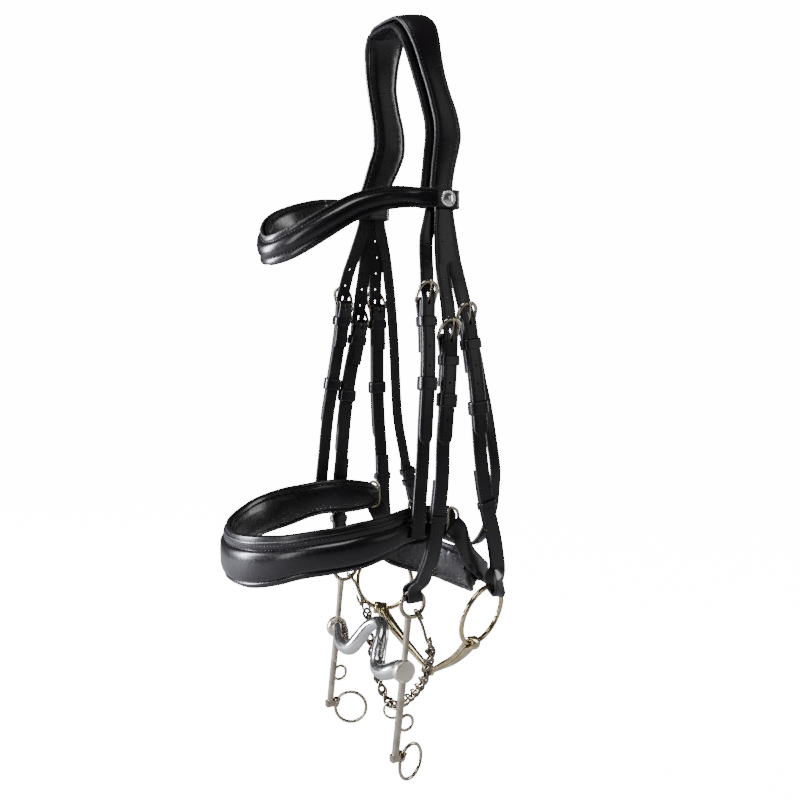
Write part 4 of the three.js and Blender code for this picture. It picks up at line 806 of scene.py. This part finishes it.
# ------------------------------------------------------------------ browband
def browband():
    curl = lambda s, z: [[s * x, y, z, 16] for x, y in ((58, -15), (56, -9), (54.6, -3), (54.4, 8), (54.6, 15.4), (57, 19), (61, 20), (66, 19.6), (70, 17.2))]
    pts = curl(1, -156.6) + BROW + curl(-1, -155.6)[::-1]
    P = curve(pts, 2.2)
    n = len(P)
    T0 = tangents(P)
    # outward: to the right of travel, the same side all the way round the loops
    part = Part("browband", [M_STRAP, M_EDGE, M_FLESH, M_THREAD], padded=0.9)
    i0 = int(np.argmin(P[:, 1]))
    def sec(i, u):
        h = P[i, 3] / 2
        loop = abs(P[i, 0]) > 54 and P[i, 1] > -17
        b = 0 if loop and abs(i - i0) > 40 else min(1, max(0, (-P[i, 1] - 8) / 25))
        if abs(i - i0) * 2.2 > 235:
            b = 0
        r = 3.1 * b
        g = 0.35 * b
        prof = [(-1.0, 0.2), (-0.985, 1.0), (-0.93, 1.35), (-0.80, 1.5), (-0.66, 1.5 - g * 0.3), (-0.58, 1.3 - g), (-0.50, 1.45 + r * 0.25), (-0.40, 1.5 + r * 0.62), (-0.24, 1.55 + r * 0.9), (0.0, 1.6 + r)]
        top = [(a * h, q) for a, q in prof]
        top += [(-a, q) for a, q in reversed(top[:-1])]
        return top + [(h, -0.9), (h - 0.6, -1.3), (0, -1.3), (-h + 0.6, -1.3), (-h, -0.9)]
    mats = [1, 1, 0, 0, 0, 0, 0, 0, 0, 0, 0, 0, 0, 0, 0, 0, 1, 1, 1, 1, 2, 2, 1, 1]
    fr = sweep(part, P, sec, (0, 0, 1), (0, -1, 0), mid=i0 / (n - 1), mats=mats)
    L = lengths(P)
    a0, a1 = L[i0] - 178, L[i0] + 178
    hh = lambda u: np.interp(u * (n - 1), np.arange(n), P[:, 3]) / 2
    for q in (-0.58, 0.58):
        stitches(part, fr, lambda u: hh(u) * q, 1.25, a0, a1, mat=3)
    for q in (-0.86, 0.86):
        stitches(part, fr, lambda u: hh(u) * q, 1.48, L[i0] - 205, L[i0] + 205, mat=3, r=0.28)
    part.done()
    inner = Part("browband_padding", [M_PAD, M_THREAD], padded=0.8)
    Q = curve(BROW[5:-5], 2.2)
    m = len(Q)
    def ps(i, u):
        h = Q[i, 3] / 2 + 0.2
        e = min(1, min(i, m - 1 - i) / 6)
        k = 0.55 + 0.45 * math.sqrt(e)
        pk = 0.3 * math.sin(i * 2.1) ** 2
        s = [(-h + 1.4, -3.0), (-h + 0.3, -3.6), (-h, -4.8), (-h + 0.5, -6.0), (-h + 1.8, -6.6), (-h + 3.0, -6.0 + pk), (-h + 4.2, -6.9), (-h * 0.35, -7.9), (0, -8.1), (h * 0.35, -7.9), (h - 4.2, -6.9), (h - 3.0, -6.0 + pk), (h - 1.8, -6.6), (h - 0.5, -6.0), (h, -4.8), (h - 0.3, -3.6), (h - 1.4, -3.0), (0, -2.9)]
        return [(a * (0.9 + 0.1 * k), -3 + (b + 3) * k) for a, b in s]
    fi = sweep(inner, Q, ps, (0, 0, 1), lambda p: (p[0], p[1] - 12, 0))
    inner.v[-1] = lump(inner.v[-1], 0.3, 0.08, 7.7)
    for q in (-1, 1):
        stitches(inner, fi, lambda u: q * (np.interp(u * (m - 1), np.arange(m), Q[:, 3]) / 2 - 2.8), -6.2, 8, lengths(Q)[-1] - 8, mat=1)
    inner.done()
    for s, z in ((1, -156.8), (-1, -155.8)):
        S = "near" if s > 0 else "far"
        ro = Part("rosette_" + S, [M_BRIGHT], sharp=50)
        c = [s * 72.7, 5.5, z]
        lathe(ro, c, [s, 0, 0], [(0.01, 0), (6.7, 0), (7.0, 0.5), (6.9, 1.1), (6.4, 1.6), (5.9, 1.6), (5.5, 1.15), (4.8, 1.1), (4.2, 1.6), (2.6, 2.3), (1.2, 2.7), (0.01, 2.8)], 40)
        for j in range(24):
            q = 2 * math.pi * j / 24
            lathe(ro, [c[0] + s * 1.25, c[1] + 6.15 * math.cos(q), c[2] + 6.15 * math.sin(q)], [s, 0, 0], [(0.01, 0), (0.5, 0.05), (0.62, 0.3), (0.4, 0.62), (0.01, 0.72)], 8)
        ro.done()


# ------------------------------------------------------------------ noseband
def noseband():
    rows = [[x, y, (a + b) / 2, (a - b) / 2] for x, y, a, b in NOSE]
    rows += [[-x, y, z, h] for x, y, z, h in reversed(rows[:-1])]
    P = curve(rows, 2.4)
    n = len(P)
    out = lambda p: (p[0], p[1], 0)
    part = Part("noseband", [M_STRAP, M_EDGE, M_FLESH, M_THREAD], padded=0.95)
    L = lengths(P)
    def sec(i, u):
        h = P[i, 3]
        e = min(1, max(0.0, (min(L[i], L[-1] - L[i]) - 4) / 26))
        e = e * e * (3 - 2 * e)
        r = 2.6 * e
        return [(-h + 1.5, 1.9), (-h + 1.5, 2.7), (-h + 2.1, 3.25), (-h + 3.2, 3.5), (-h + 4.3, 3.25), (-h + 4.9, 2.75), (-h + 5.5, 3.1 + r * 0.35), (-h + 7.2, 3.5 + r * 0.75), (-h + 10, 3.7 + r), (0, 3.8 + r * 1.1),
                (h - 14.5, 3.7 + r), (h - 12.4, 3.4 + r * 0.7), (h - 11.2, 3.0 + r * 0.3), (h - 10.6, 2.7), (h - 10.0, 3.0), (h - 9.2, 3.3), (h - 5.4, 3.3), (h - 4.4, 3.2), (h - 3.7, 2.8), (h - 3.5, 1.9)]
    mats = [1, 1, 0, 0, 0, 0, 0, 0, 0, 0, 0, 0, 0, 0, 0, 0, 0, 1, 1, 2]
    fr = sweep(part, P, sec, (0, 0, 1), out, mats=mats)
    H = lambda u: np.interp(u * (n - 1), np.arange(n), P[:, 3])
    stitches(part, fr, lambda u: H(u) - 7.2, 3.34, 6, L[-1] - 6, mat=3)
    stitches(part, fr, lambda u: H(u) - 10.6, 2.72, 6, L[-1] - 6, mat=3, r=0.3)
    stitches(part, fr, lambda u: -H(u) + 4.9, 2.78, 6, L[-1] - 6, mat=3, r=0.3)
    part.done()
    pad = Part("noseband_padding", [M_PAD, M_THREAD], padded=0.85)
    z0, z1, h0 = P[0, 2], P[-1, 2], P[0, 3]
    Q = curve([[67.2, 19, z0 - 1, h0 - 3.5], [68.8, 12, z0, h0 - 0.6]] + [list(p) for p in P[3:-3:6]] + [[-68.7, 8, z1 - 0.2, h0 - 0.8], [-68.2, 12, z1 - 0.6, h0 - 1.6]], 2.4)
    m = len(Q)
    LQ = lengths(Q)
    def end_round(u):
        d = min(u, 1 - u) * LQ[-1]
        return 0.55 + 0.45 * math.sqrt(1 - (1 - min(1, d / 13)) ** 2)
    def ps(i, u):
        h = (Q[i, 3] + 0.4) * end_round(u)
        pk = 0.35 * math.sin(i * 2.3) ** 2
        k = 0.45 + 0.55 * math.sqrt(min(1, min(i, m - 1 - i) / 4))
        o = [(-h + 2.0, 1.5), (-h + 0.5, 0.9), (-h - 0.2, -0.8), (-h, -2.8), (-h + 1.2, -4.4), (-h + 2.8, -4.9), (-h + 4.2, -4.2 + pk), (-h + 5.8, -5.6), (-h * 0.4, -6.5), (0, -6.7), (h * 0.4, -6.5), (h - 6.4, -5.6), (h - 4.8, -4.2 + pk), (h - 3.2, -4.9), (h - 1.2, -4.4), (h + 0.3, -2.6), (h + 0.5, -0.6), (h - 0.6, 1.1), (h - 2.2, 1.6), (0, 1.5)]
        q = 1.0 if Q[i, 1] < 3 else 0.82
        return [(a * (0.8 + 0.2 * k), (-2.4 + (b + 2.4) * k) if b < 0 or Q[i, 1] < 3 else min(b, 0.6) * k) for a, b in o]
    fi = sweep(pad, Q, ps, (0, 0, 1), out)
    pad.v[-1] = lump(pad.v[-1], 0.4, 0.06, 1.9)
    Hq = lambda u: np.interp(u * (m - 1), np.arange(m), Q[:, 3])
    for q in (-1, 1):
        stitches(pad, fi, lambda u: q * (Hq(u) * end_round(u) - 4.1), -4.4, 9, None, mat=1)
    pad.done()
    for s in (1, -1):
        S = "near" if s > 0 else "far"
        D = Part("noseband_dee_" + S, [M_STEEL], sharp=60)
        Pd = lambda y, z, x=0: [s * (73.4 + x), y, z]
        C = curve([Pd(6.8, -449, -0.4), Pd(6.8, -439, -0.4), Pd(6.8, -429, -0.4), Pd(9, -426.4), Pd(13.6, -427.6), Pd(16.6, -431, 0.3), Pd(17.6, -440, 0.4), Pd(16.6, -449, 0.3), Pd(13.6, -452.4), Pd(9, -451.6)], 1.2, True)
        tube(D, C, 1.5, 12, True)
        D.done()
    # crank strap
    bar = 2
    lead = lambda s: [[s * 76.9, 9, -441], [s * 77.4, 15, -447]]
    A = [np.array(p, float) for p in lead(1) + [[76.6, 20, -457], [73.4, 29, -472], [65.2, 46.4, -487]]] + CRANKL.between(53, 21, 4.4, 12) + [CRANKL.off(14, 4.6), CRANKL.off(8, 5.4), CRANKL.off(2, 6.2), CRANKL.off(-6, 5.6)] + CRANKL.between(-14, -38, BILLET, 8)
    near = Part("crank_strap_near", [M_STRAP, M_EDGE, M_FLESH, M_THREAD])
    fr = strap(near, A, CRANK_W, ref=(0, 0, 1), out=(0.3, 1, 0), mid=0.6, tip=("end",), cutters=[hole_for_tongue(CRANKL, bar)] + punched(CRANKL, [40, 22, -14, -27], 1.6))
    for a in (-1, 1):
        stitches(near, fr, a * (CRANK_W / 2 - 1.8), LEATHER / 2 + 0.02, 3, 46, mat=3)
    near.done()
    B = fold_top(CRANKL, bar, bar - 30) + CRANKL.between(bar - 26, -61, LAYER, 12) + [CRANKL.off(-66, LAYER)] + [np.array(p, float) for p in ([-75.4, 20.5, -464], [-77.9, 15.5, -452], [-77.4, 9, -443])]
    far = Part("crank_strap_far", [M_STRAP, M_EDGE, M_FLESH, M_THREAD])
    strap(far, B, CRANK_W, ref=(0, 0, 1), out=(0, 1, 0), mid=0.55, cutters=[hole_for_tongue(CRANKL, bar, -4.2, 5.2)])
    keeper(far, CRANKL, bar - 17, CRANK_W + 1, 9, -2.3, 6.7)
    far.done()
    buckle("crank_buckle", CRANKL, bar, CRANK_W, "crank_buckle_tongue")
    # padded piece behind the jaw
    chin = Part("chin_pad", [M_PAD, M_THREAD, M_EDGE], padded=0.7)
    C = curve([[59, 38, -485], [47, 50.5, -495], [25, 59, -501], [0, 61, -503], [-25, 55.5, -501], [-47, 39.5, -497], [-58, 23, -490], [-63.5, 10, -481]], 2.2)
    m = len(C)
    Lc = lengths(C)
    def ce(u):
        return max(0.42, math.sqrt(1 - (1 - min(1, min(u, 1 - u) * 6)) ** 2))
    def cs(i, u):
        e = ce(u)
        h, t = 20 * e, 4.6 * (0.6 + 0.4 * e)
        w = 0.5 * math.sin(Lc[i] * 0.9) + 0.35 * math.sin(Lc[i] * 0.47 + 1)
        pk = 0.5 * math.sin(Lc[i] * 2 * math.pi / 6.6) ** 2
        o = [(-h, 0.6), (-h + 1, 1.6), (-h + 3, 2.2), (-h + 4.4, 1.7), (-h + 6.5, t * 0.85), (-h * 0.35, t), (0, t * 1.02), (h * 0.35, t), (h - 6.5, t * 0.85), (h - 4.4, 1.7), (h - 3, 2.2), (h - 1, 1.6), (h, 0.6)]
        q = [(h, -0.6), (h - 1, -1.7), (h - 3, -2.3), (h - 4.4, -1.6 + pk), (h - 6.5, -t * 0.8), (h * 0.5, -t * 0.95 + w), (h * 0.2, -t - 0.3 * w), (-h * 0.2, -t + 0.6 * w), (-h * 0.5, -t * 0.95 - w), (-h + 6.5, -t * 0.8), (-h + 4.4, -1.6 + pk), (-h + 3, -2.3), (-h + 1, -1.7), (-h, -0.6)]
        return o + q
    fc = sweep(chin, C, cs, (0, 0, 1), lambda p: (p[0], p[1] - 10, 0))
    chin.v[-1] = lump(chin.v[-1], 0.5, 0.09, 5.3)
    for q in (-1, 1):
        hc = lambda u: q * (20 * ce(u) - 4.4)
        stitches(chin, fc, hc, 1.75, 6, Lc[-1] - 6, mat=1)
        stitches(chin, fc, hc, -1.7, 6, Lc[-1] - 6, mat=1)
    chin.done()


# ------------------------------------------------------------------ bits
def square_tube(part, pts, half, step=1.6, mat=0, ref=(1, 0, 0), power=0.95):
    P = curve(pts, step)
    def sec(i, u):
        k = half(u)
        return [(k * math.copysign(abs(math.cos(q)) ** power, math.cos(q)), k * 0.92 * math.copysign(abs(math.sin(q)) ** power, math.sin(q))) for q in np.linspace(0, 2 * math.pi, 20, endpoint=False)]
    sweep(part, P, sec, ref, mats=[mat] * 20)


def curb_bit():
    for s in (1, -1):
        S, X = ("near", BIT_X) if s > 0 else ("far", -BIT_X)
        p = Part("curb_cheek_" + S, [M_STEEL, M_BRIGHT, M_SATIN], sharp=45)
        def half(u):
            return (7.2 - 1.2 * math.sin(math.pi * min(1, u * 2.4))) / 2
        square_tube(p, [[X, y, z] for y, z in ([EYE_Y - 4.4, EYE_Z - EYE_R + 0.6], [-31.4, -535], [-33.4, -556], [BOSS_Y, BOSS_Z], [-36.6, -586], [-40.2, -618], [-43.2, -645], [-43.5, -650])], half)
        lathe(p, [X - s * 2.8, BOSS_Y, BOSS_Z], [s, 0, 0], [(0.01, 0), (9.2, 0), (10.2, 0.5), (10.5, 1.4), (10.5, 5.6), (10.2, 6.6), (9.4, 7.3), (8.7, 7.45), (8.4, 7.1), (8.0, 7.1), (5, 7.4), (0.01, 7.55)], 48, mat=2)
        torus(p, [X, EYE_Y, EYE_Z], [1, 0, 0], EYE_R, EYE_WIRE, 56, 16)
        torus(p, [X, LIP_Y, LIP_Z], [1, 0, 0], LIP_R, LIP_WIRE, 40, 12)
        # foot with its hole for the rein ring
        square_tube(p, [[X, -47.4, FOOT_Z], [X, -46.8, FOOT_Z], [X, -43, FOOT_Z], [X, -40.6, FOOT_Z], [X, -39.8, FOOT_Z]], lambda u: 3.8, 0.8, ref=(1, 0, 0), power=0.45)
        # lug round the ring's wire: a stubby sleeve that leans with the ring
        yaw = np.array([-0.37, 0.93, 0]) if s > 0 else np.array([0.5, 0.866, 0])
        dip = math.radians(38 if s > 0 else 20)
        lean = unit(yaw * math.sin(dip) + np.array([0, 0, math.cos(dip)]))
        lu = unit(np.cross(lean, [0.3, 0.2, 0.1])); lv = np.cross(lean, lu)
        V, F = [], []
        prof = [(2.5, -4.1), (3.4, -4.2), (3.75, -3.7), (3.75, 3.7), (3.4, 4.2), (2.5, 4.1)]
        seg = 28
        for r, h in prof:
            for j in range(seg):
                q = 2 * math.pi * j / seg
                V.append(np.array([X, -36.4, FOOT_Z]) + lean * h + r * (lu * math.cos(q) + lv * math.sin(q)))
        for i in range(len(prof)):
            for j in range(seg):
                k, i2 = (j + 1) % seg, (i + 1) % len(prof)
                F.append((i * seg + j, i * seg + k, i2 * seg + k, i2 * seg + j))
        p.put(V, F, 0)
        p.done()
        yaw = np.array([-0.37, 0.93, 0]) if s > 0 else np.array([0.5, 0.866, 0])
        dip = math.radians(38 if s > 0 else 20)
        c = np.array([X, -36.4, FOOT_Z]) + REIN_R * unit(yaw * math.cos(dip) - np.array([0, 0, math.sin(dip)]))
        r = Part("rein_ring_" + S, [M_STEEL], sharp=60)
        torus(r, c, [yaw[1], -yaw[0], 0], REIN_R, REIN_WIRE, 64, 14)
        r.done()
    m = Part("curb_mouthpiece", [M_BRIGHT], sharp=60)
    pts = [[64.4, BOSS_Y, BOSS_Z], [61, BOSS_Y, BOSS_Z], [56, -36.2, -571.5], [48, -39.5, -576], [38, -41, -578.5], [28, -39.5, -577], [20.5, -34.5, -567.5], [14, -27.5, -555], [6, -23, -549], [0, -22, -548]]
    pts = [[x * 0.975, y, z] for x, y, z in pts]
    pts += [[-x, y, z] for x, y, z in reversed(pts[:-1])]
    tube(m, curve(pts, 1.6), lambda i, u: 7.6 - 1.6 * math.exp(-(((u - 0.5) / 0.16) ** 2)), 24)
    m.done()
    hy, hz = EYE_Y + EYE_R * 0.5, EYE_Z - EYE_R * 0.866
    for s in (1, -1):
        S = "near" if s > 0 else "far"
        Pp = lambda a, b: [s * (BIT_X + a), hy + b * 0.5, hz - b * 0.866]
        Q = lambda a, y, z: [s * (BIT_X + a), y, z]
        h = Part("curb_hook_" + S, [M_CHAIN], sharp=60)
        C = curve([Pp(4.2, 4), Pp(4.3, 0), Pp(3, -3.2), Pp(0, -4.3), Pp(-3, -3.2), Pp(-4.3, 0), Pp(-4.6, 5), Q(-5, -13, -532), Q(-5, -10, -541), Q(-3.6, -8.5, -548), Q(0, -8, -551), Q(3.8, -8.6, -547.6), Q(4.6, -10.2, -541.6)], 1.2)
        tube(h, C, lambda i, u: 1.5 * (1 - 0.3 * max(0, (u - 0.85) / 0.15)), 12)
        h.done()
    # chain of twisted links
    ch = Part("curb_chain", [M_CHAIN], sharp=60)
    A = spline(CHAIN, 30)
    L = lengths(A)[-1]
    n = 34
    E = even(A, L / n)
    T = tangents(E)
    for i in range(n):
        c = (E[i] + E[i + 1]) / 2
        t = unit(E[i + 1] - E[i])
        a = unit(np.array([0, 1.0, 0]) - t[1] * t)
        b = np.cross(t, a)
        g = math.radians(90 * (i % 2) + 35)
        u, v = a * math.cos(g) + b * math.sin(g), -a * math.sin(g) + b * math.cos(g)
        half = L / n * 0.5 + 3.2
        K = []
        for q in np.linspace(0, 2 * math.pi, 26, endpoint=False):
            x, y = half * math.cos(q), 4.0 * math.sin(q)
            tw = math.radians(58) * x / half
            K.append(c + t * x + u * y * math.cos(tw) + v * y * math.sin(tw))
        tube(ch, np.array(K), 1.4, 9, True)
    for s in (1, -1):
        torus(ch, [s * 61.6, -4.2, -553.4], [0.25 * s, 1, 0.1], 5.6, 1.1, 36, 10)
    ch.done()
    f = Part("fly_link", [M_STEEL], sharp=60)
    torus(f, [-20.5, 3.2, -646.9], [0.9, -0.44, 0.05], 8.6, 1.3, 44, 12)
    f.done()


def bradoon():
    J = np.array([2, 33, -604.0])
    for S in ("near", "far"):
        s = 1 if S == "near" else -1
        c, a, at, wire = ring_frame(S)
        r = Part("bradoon_ring_" + S, [M_WARM], sharp=60)
        torus(r, c, a, RING_R, RING_WIRE, 96, 18)
        r.done()
        e = at(-12)
        d = unit(J - e)
        wd = unit(at(10) - at(-34))
        p = Part("bradoon_mouthpiece_" + S, [M_WARM], sharp=50)
        R0 = RING_WIRE + 0.75
        V, F, seg = [], [], 32
        prof = [(R0, -6.5), (5.2, -6.5), (6.0, -6.1), (6.4, -5.2), (6.4, 5.2), (6.0, 6.1), (5.2, 6.5), (R0, 6.5)]
        u = unit(np.cross(wd, [0.3, 0.2, 1])); v = np.cross(wd, u)
        for rr, h in prof:
            for j in range(seg):
                q = 2 * math.pi * j / seg
                V.append(e + wd * h + rr * (u * math.cos(q) + v * math.sin(q)))
        for i in range(len(prof)):
            for j in range(seg):
                k, i2 = (j + 1) % seg, (i + 1) % len(prof)
                F.append((i * seg + j, i * seg + k, i2 * seg + k, i2 * seg + j))
        p.put(V, F, 0)
        end = J + np.array([s * 3.5, 0, 0])
        mid = (e + end) / 2 + np.array([0, 1, -3.5])
        C = curve([e + d * 4.6, (e + mid) / 2 + np.array([0, 0, -1.0]), mid, (mid + end) / 2, end - d * 2.4], 1.6)
        tube(p, C, lambda i, u: 6.2 - 3.2 * u, 20)
        if s > 0:
            torus(p, [J[0] + 1, J[1], J[2]], [0, 1, 0], 4.6, 1.5, 32, 12)
        else:
            torus(p, [J[0] - 4.6, J[1], J[2]], [0, 0, 1], 4.6, 1.5, 32, 12)
        p.done()


billets_and_straps()
headpiece()
throatlatch()
browband()
noseband()
curb_bit()
bradoon()

# ------------------------------------------------------------------ floor, light and camera
def flat_mat(name, a, b, rough):
    """pale seamless sweep: white to the eye, and dim towards the piece so that black leather stays black"""
    m, nt, p = nodes_of(name)
    n = nt.nodes.new("ShaderNodeTexNoise")
    n.inputs["Scale"].default_value = 3.0
    tc = nt.nodes.new("ShaderNodeTexCoord")
    nt.links.new(tc.outputs["Object"], n.inputs["Vector"])
    dim = nt.nodes.new("ShaderNodeMix")
    dim.data_type = "RGBA"
    dim.inputs[6].default_value = (0.3, 0.3, 0.31, 1)
    nt.links.new(mixed(nt, n.outputs["Fac"], a, b), dim.inputs[7])
    nt.links.new(dim.outputs[2], p.inputs["Base Color"])
    p.inputs["Roughness"].default_value = rough
    p.inputs["Emission Color"].default_value = (1.0, 1.0, 1.0, 1)
    lp = nt.nodes.new("ShaderNodeLightPath")
    r = nt.nodes.new("ShaderNodeMapRange")
    r.inputs["To Min"].default_value = 0.06
    r.inputs["To Max"].default_value = 15.0
    nt.links.new(lp.outputs["Is Camera Ray"], r.inputs["Value"])
    nt.links.new(lp.outputs["Is Camera Ray"], dim.inputs[0])
    nt.links.new(r.outputs["Result"], p.inputs["Emission Strength"])
    return m


me = bpy.data.meshes.new("floor")
F = 14.0
me.from_pydata([(-F, -F, -0.74), (F, -F, -0.74), (F, F, -0.74), (-F, F, -0.74)], [], [(0, 1, 2, 3)])
me.materials.append(flat_mat("pale_floor", (0.86, 0.86, 0.86), (0.9, 0.9, 0.9), 0.9))
floor = bpy.data.objects.new("floor", me)
bpy.context.scene.collection.objects.link(floor)

w = bpy.data.worlds.new("studio")
bpy.context.scene.world = w
w.use_nodes = True
wn = w.node_tree
bg = wn.nodes["Background"]
bg.inputs["Color"].default_value = (1.0, 1.0, 1.0, 1)
lp = wn.nodes.new("ShaderNodeLightPath")
ms = wn.nodes.new("ShaderNodeMapRange")
ms.inputs["To Min"].default_value = 0.06
ms.inputs["To Max"].default_value = 15.0
wn.links.new(lp.outputs["Is Camera Ray"], ms.inputs["Value"])
wn.links.new(ms.outputs["Result"], bg.inputs["Strength"])


def area(name, loc, target, size, power, size_y=None, tint=(1, 1, 1)):
    l = bpy.data.lights.new(name, "AREA")
    l.energy = power
    l.color = tint
    l.size = size
    if size_y:
        l.shape, l.size_y = "RECTANGLE", size_y
    o = bpy.data.objects.new(name, l)
    o.location = loc
    o.rotation_mode = "QUATERNION"
    o.rotation_quaternion = (Vector(target) - Vector(loc)).to_track_quat("-Z", "Y")
    bpy.context.scene.collection.objects.link(o)
    return o


area("key", (-0.75, -1.55, -0.02), (0, -0.05, -0.33), 0.45, 116, 0.85, (0.90, 0.92, 1.0))
area("top", (0.35, -0.5, 1.35), (0, 0, -0.2), 0.9, 16, 0.9)
area("fill", (0.75, -1.7, 0.1), (0, 0, -0.4), 0.35, 9, 1.2)
area("side", (1.6, 1.0, 0.2), (0, 0, -0.4), 0.8, 2.2, 1.2)
area("rim", (0.3, 1.7, 0.1), (0, 0, -0.35), 0.5, 14, 1.3)

cam = bpy.data.cameras.new("camera")
cam.sensor_width = 36
cam.lens = 41.18
co = bpy.data.objects.new("camera", cam)
C = Vector((0.7433, -0.4292, -0.2564))
az, el = math.radians(60), math.radians(5.3)
back = Vector((math.sin(az) * math.cos(el), -math.cos(az) * math.cos(el), math.sin(el)))
co.location = C
co.rotation_mode = "QUATERNION"
co.rotation_quaternion = (-back).to_track_quat("-Z", "Y")
cam.clip_start, cam.clip_end = 0.01, 60
bpy.context.scene.collection.objects.link(co)
bpy.context.scene.camera = co
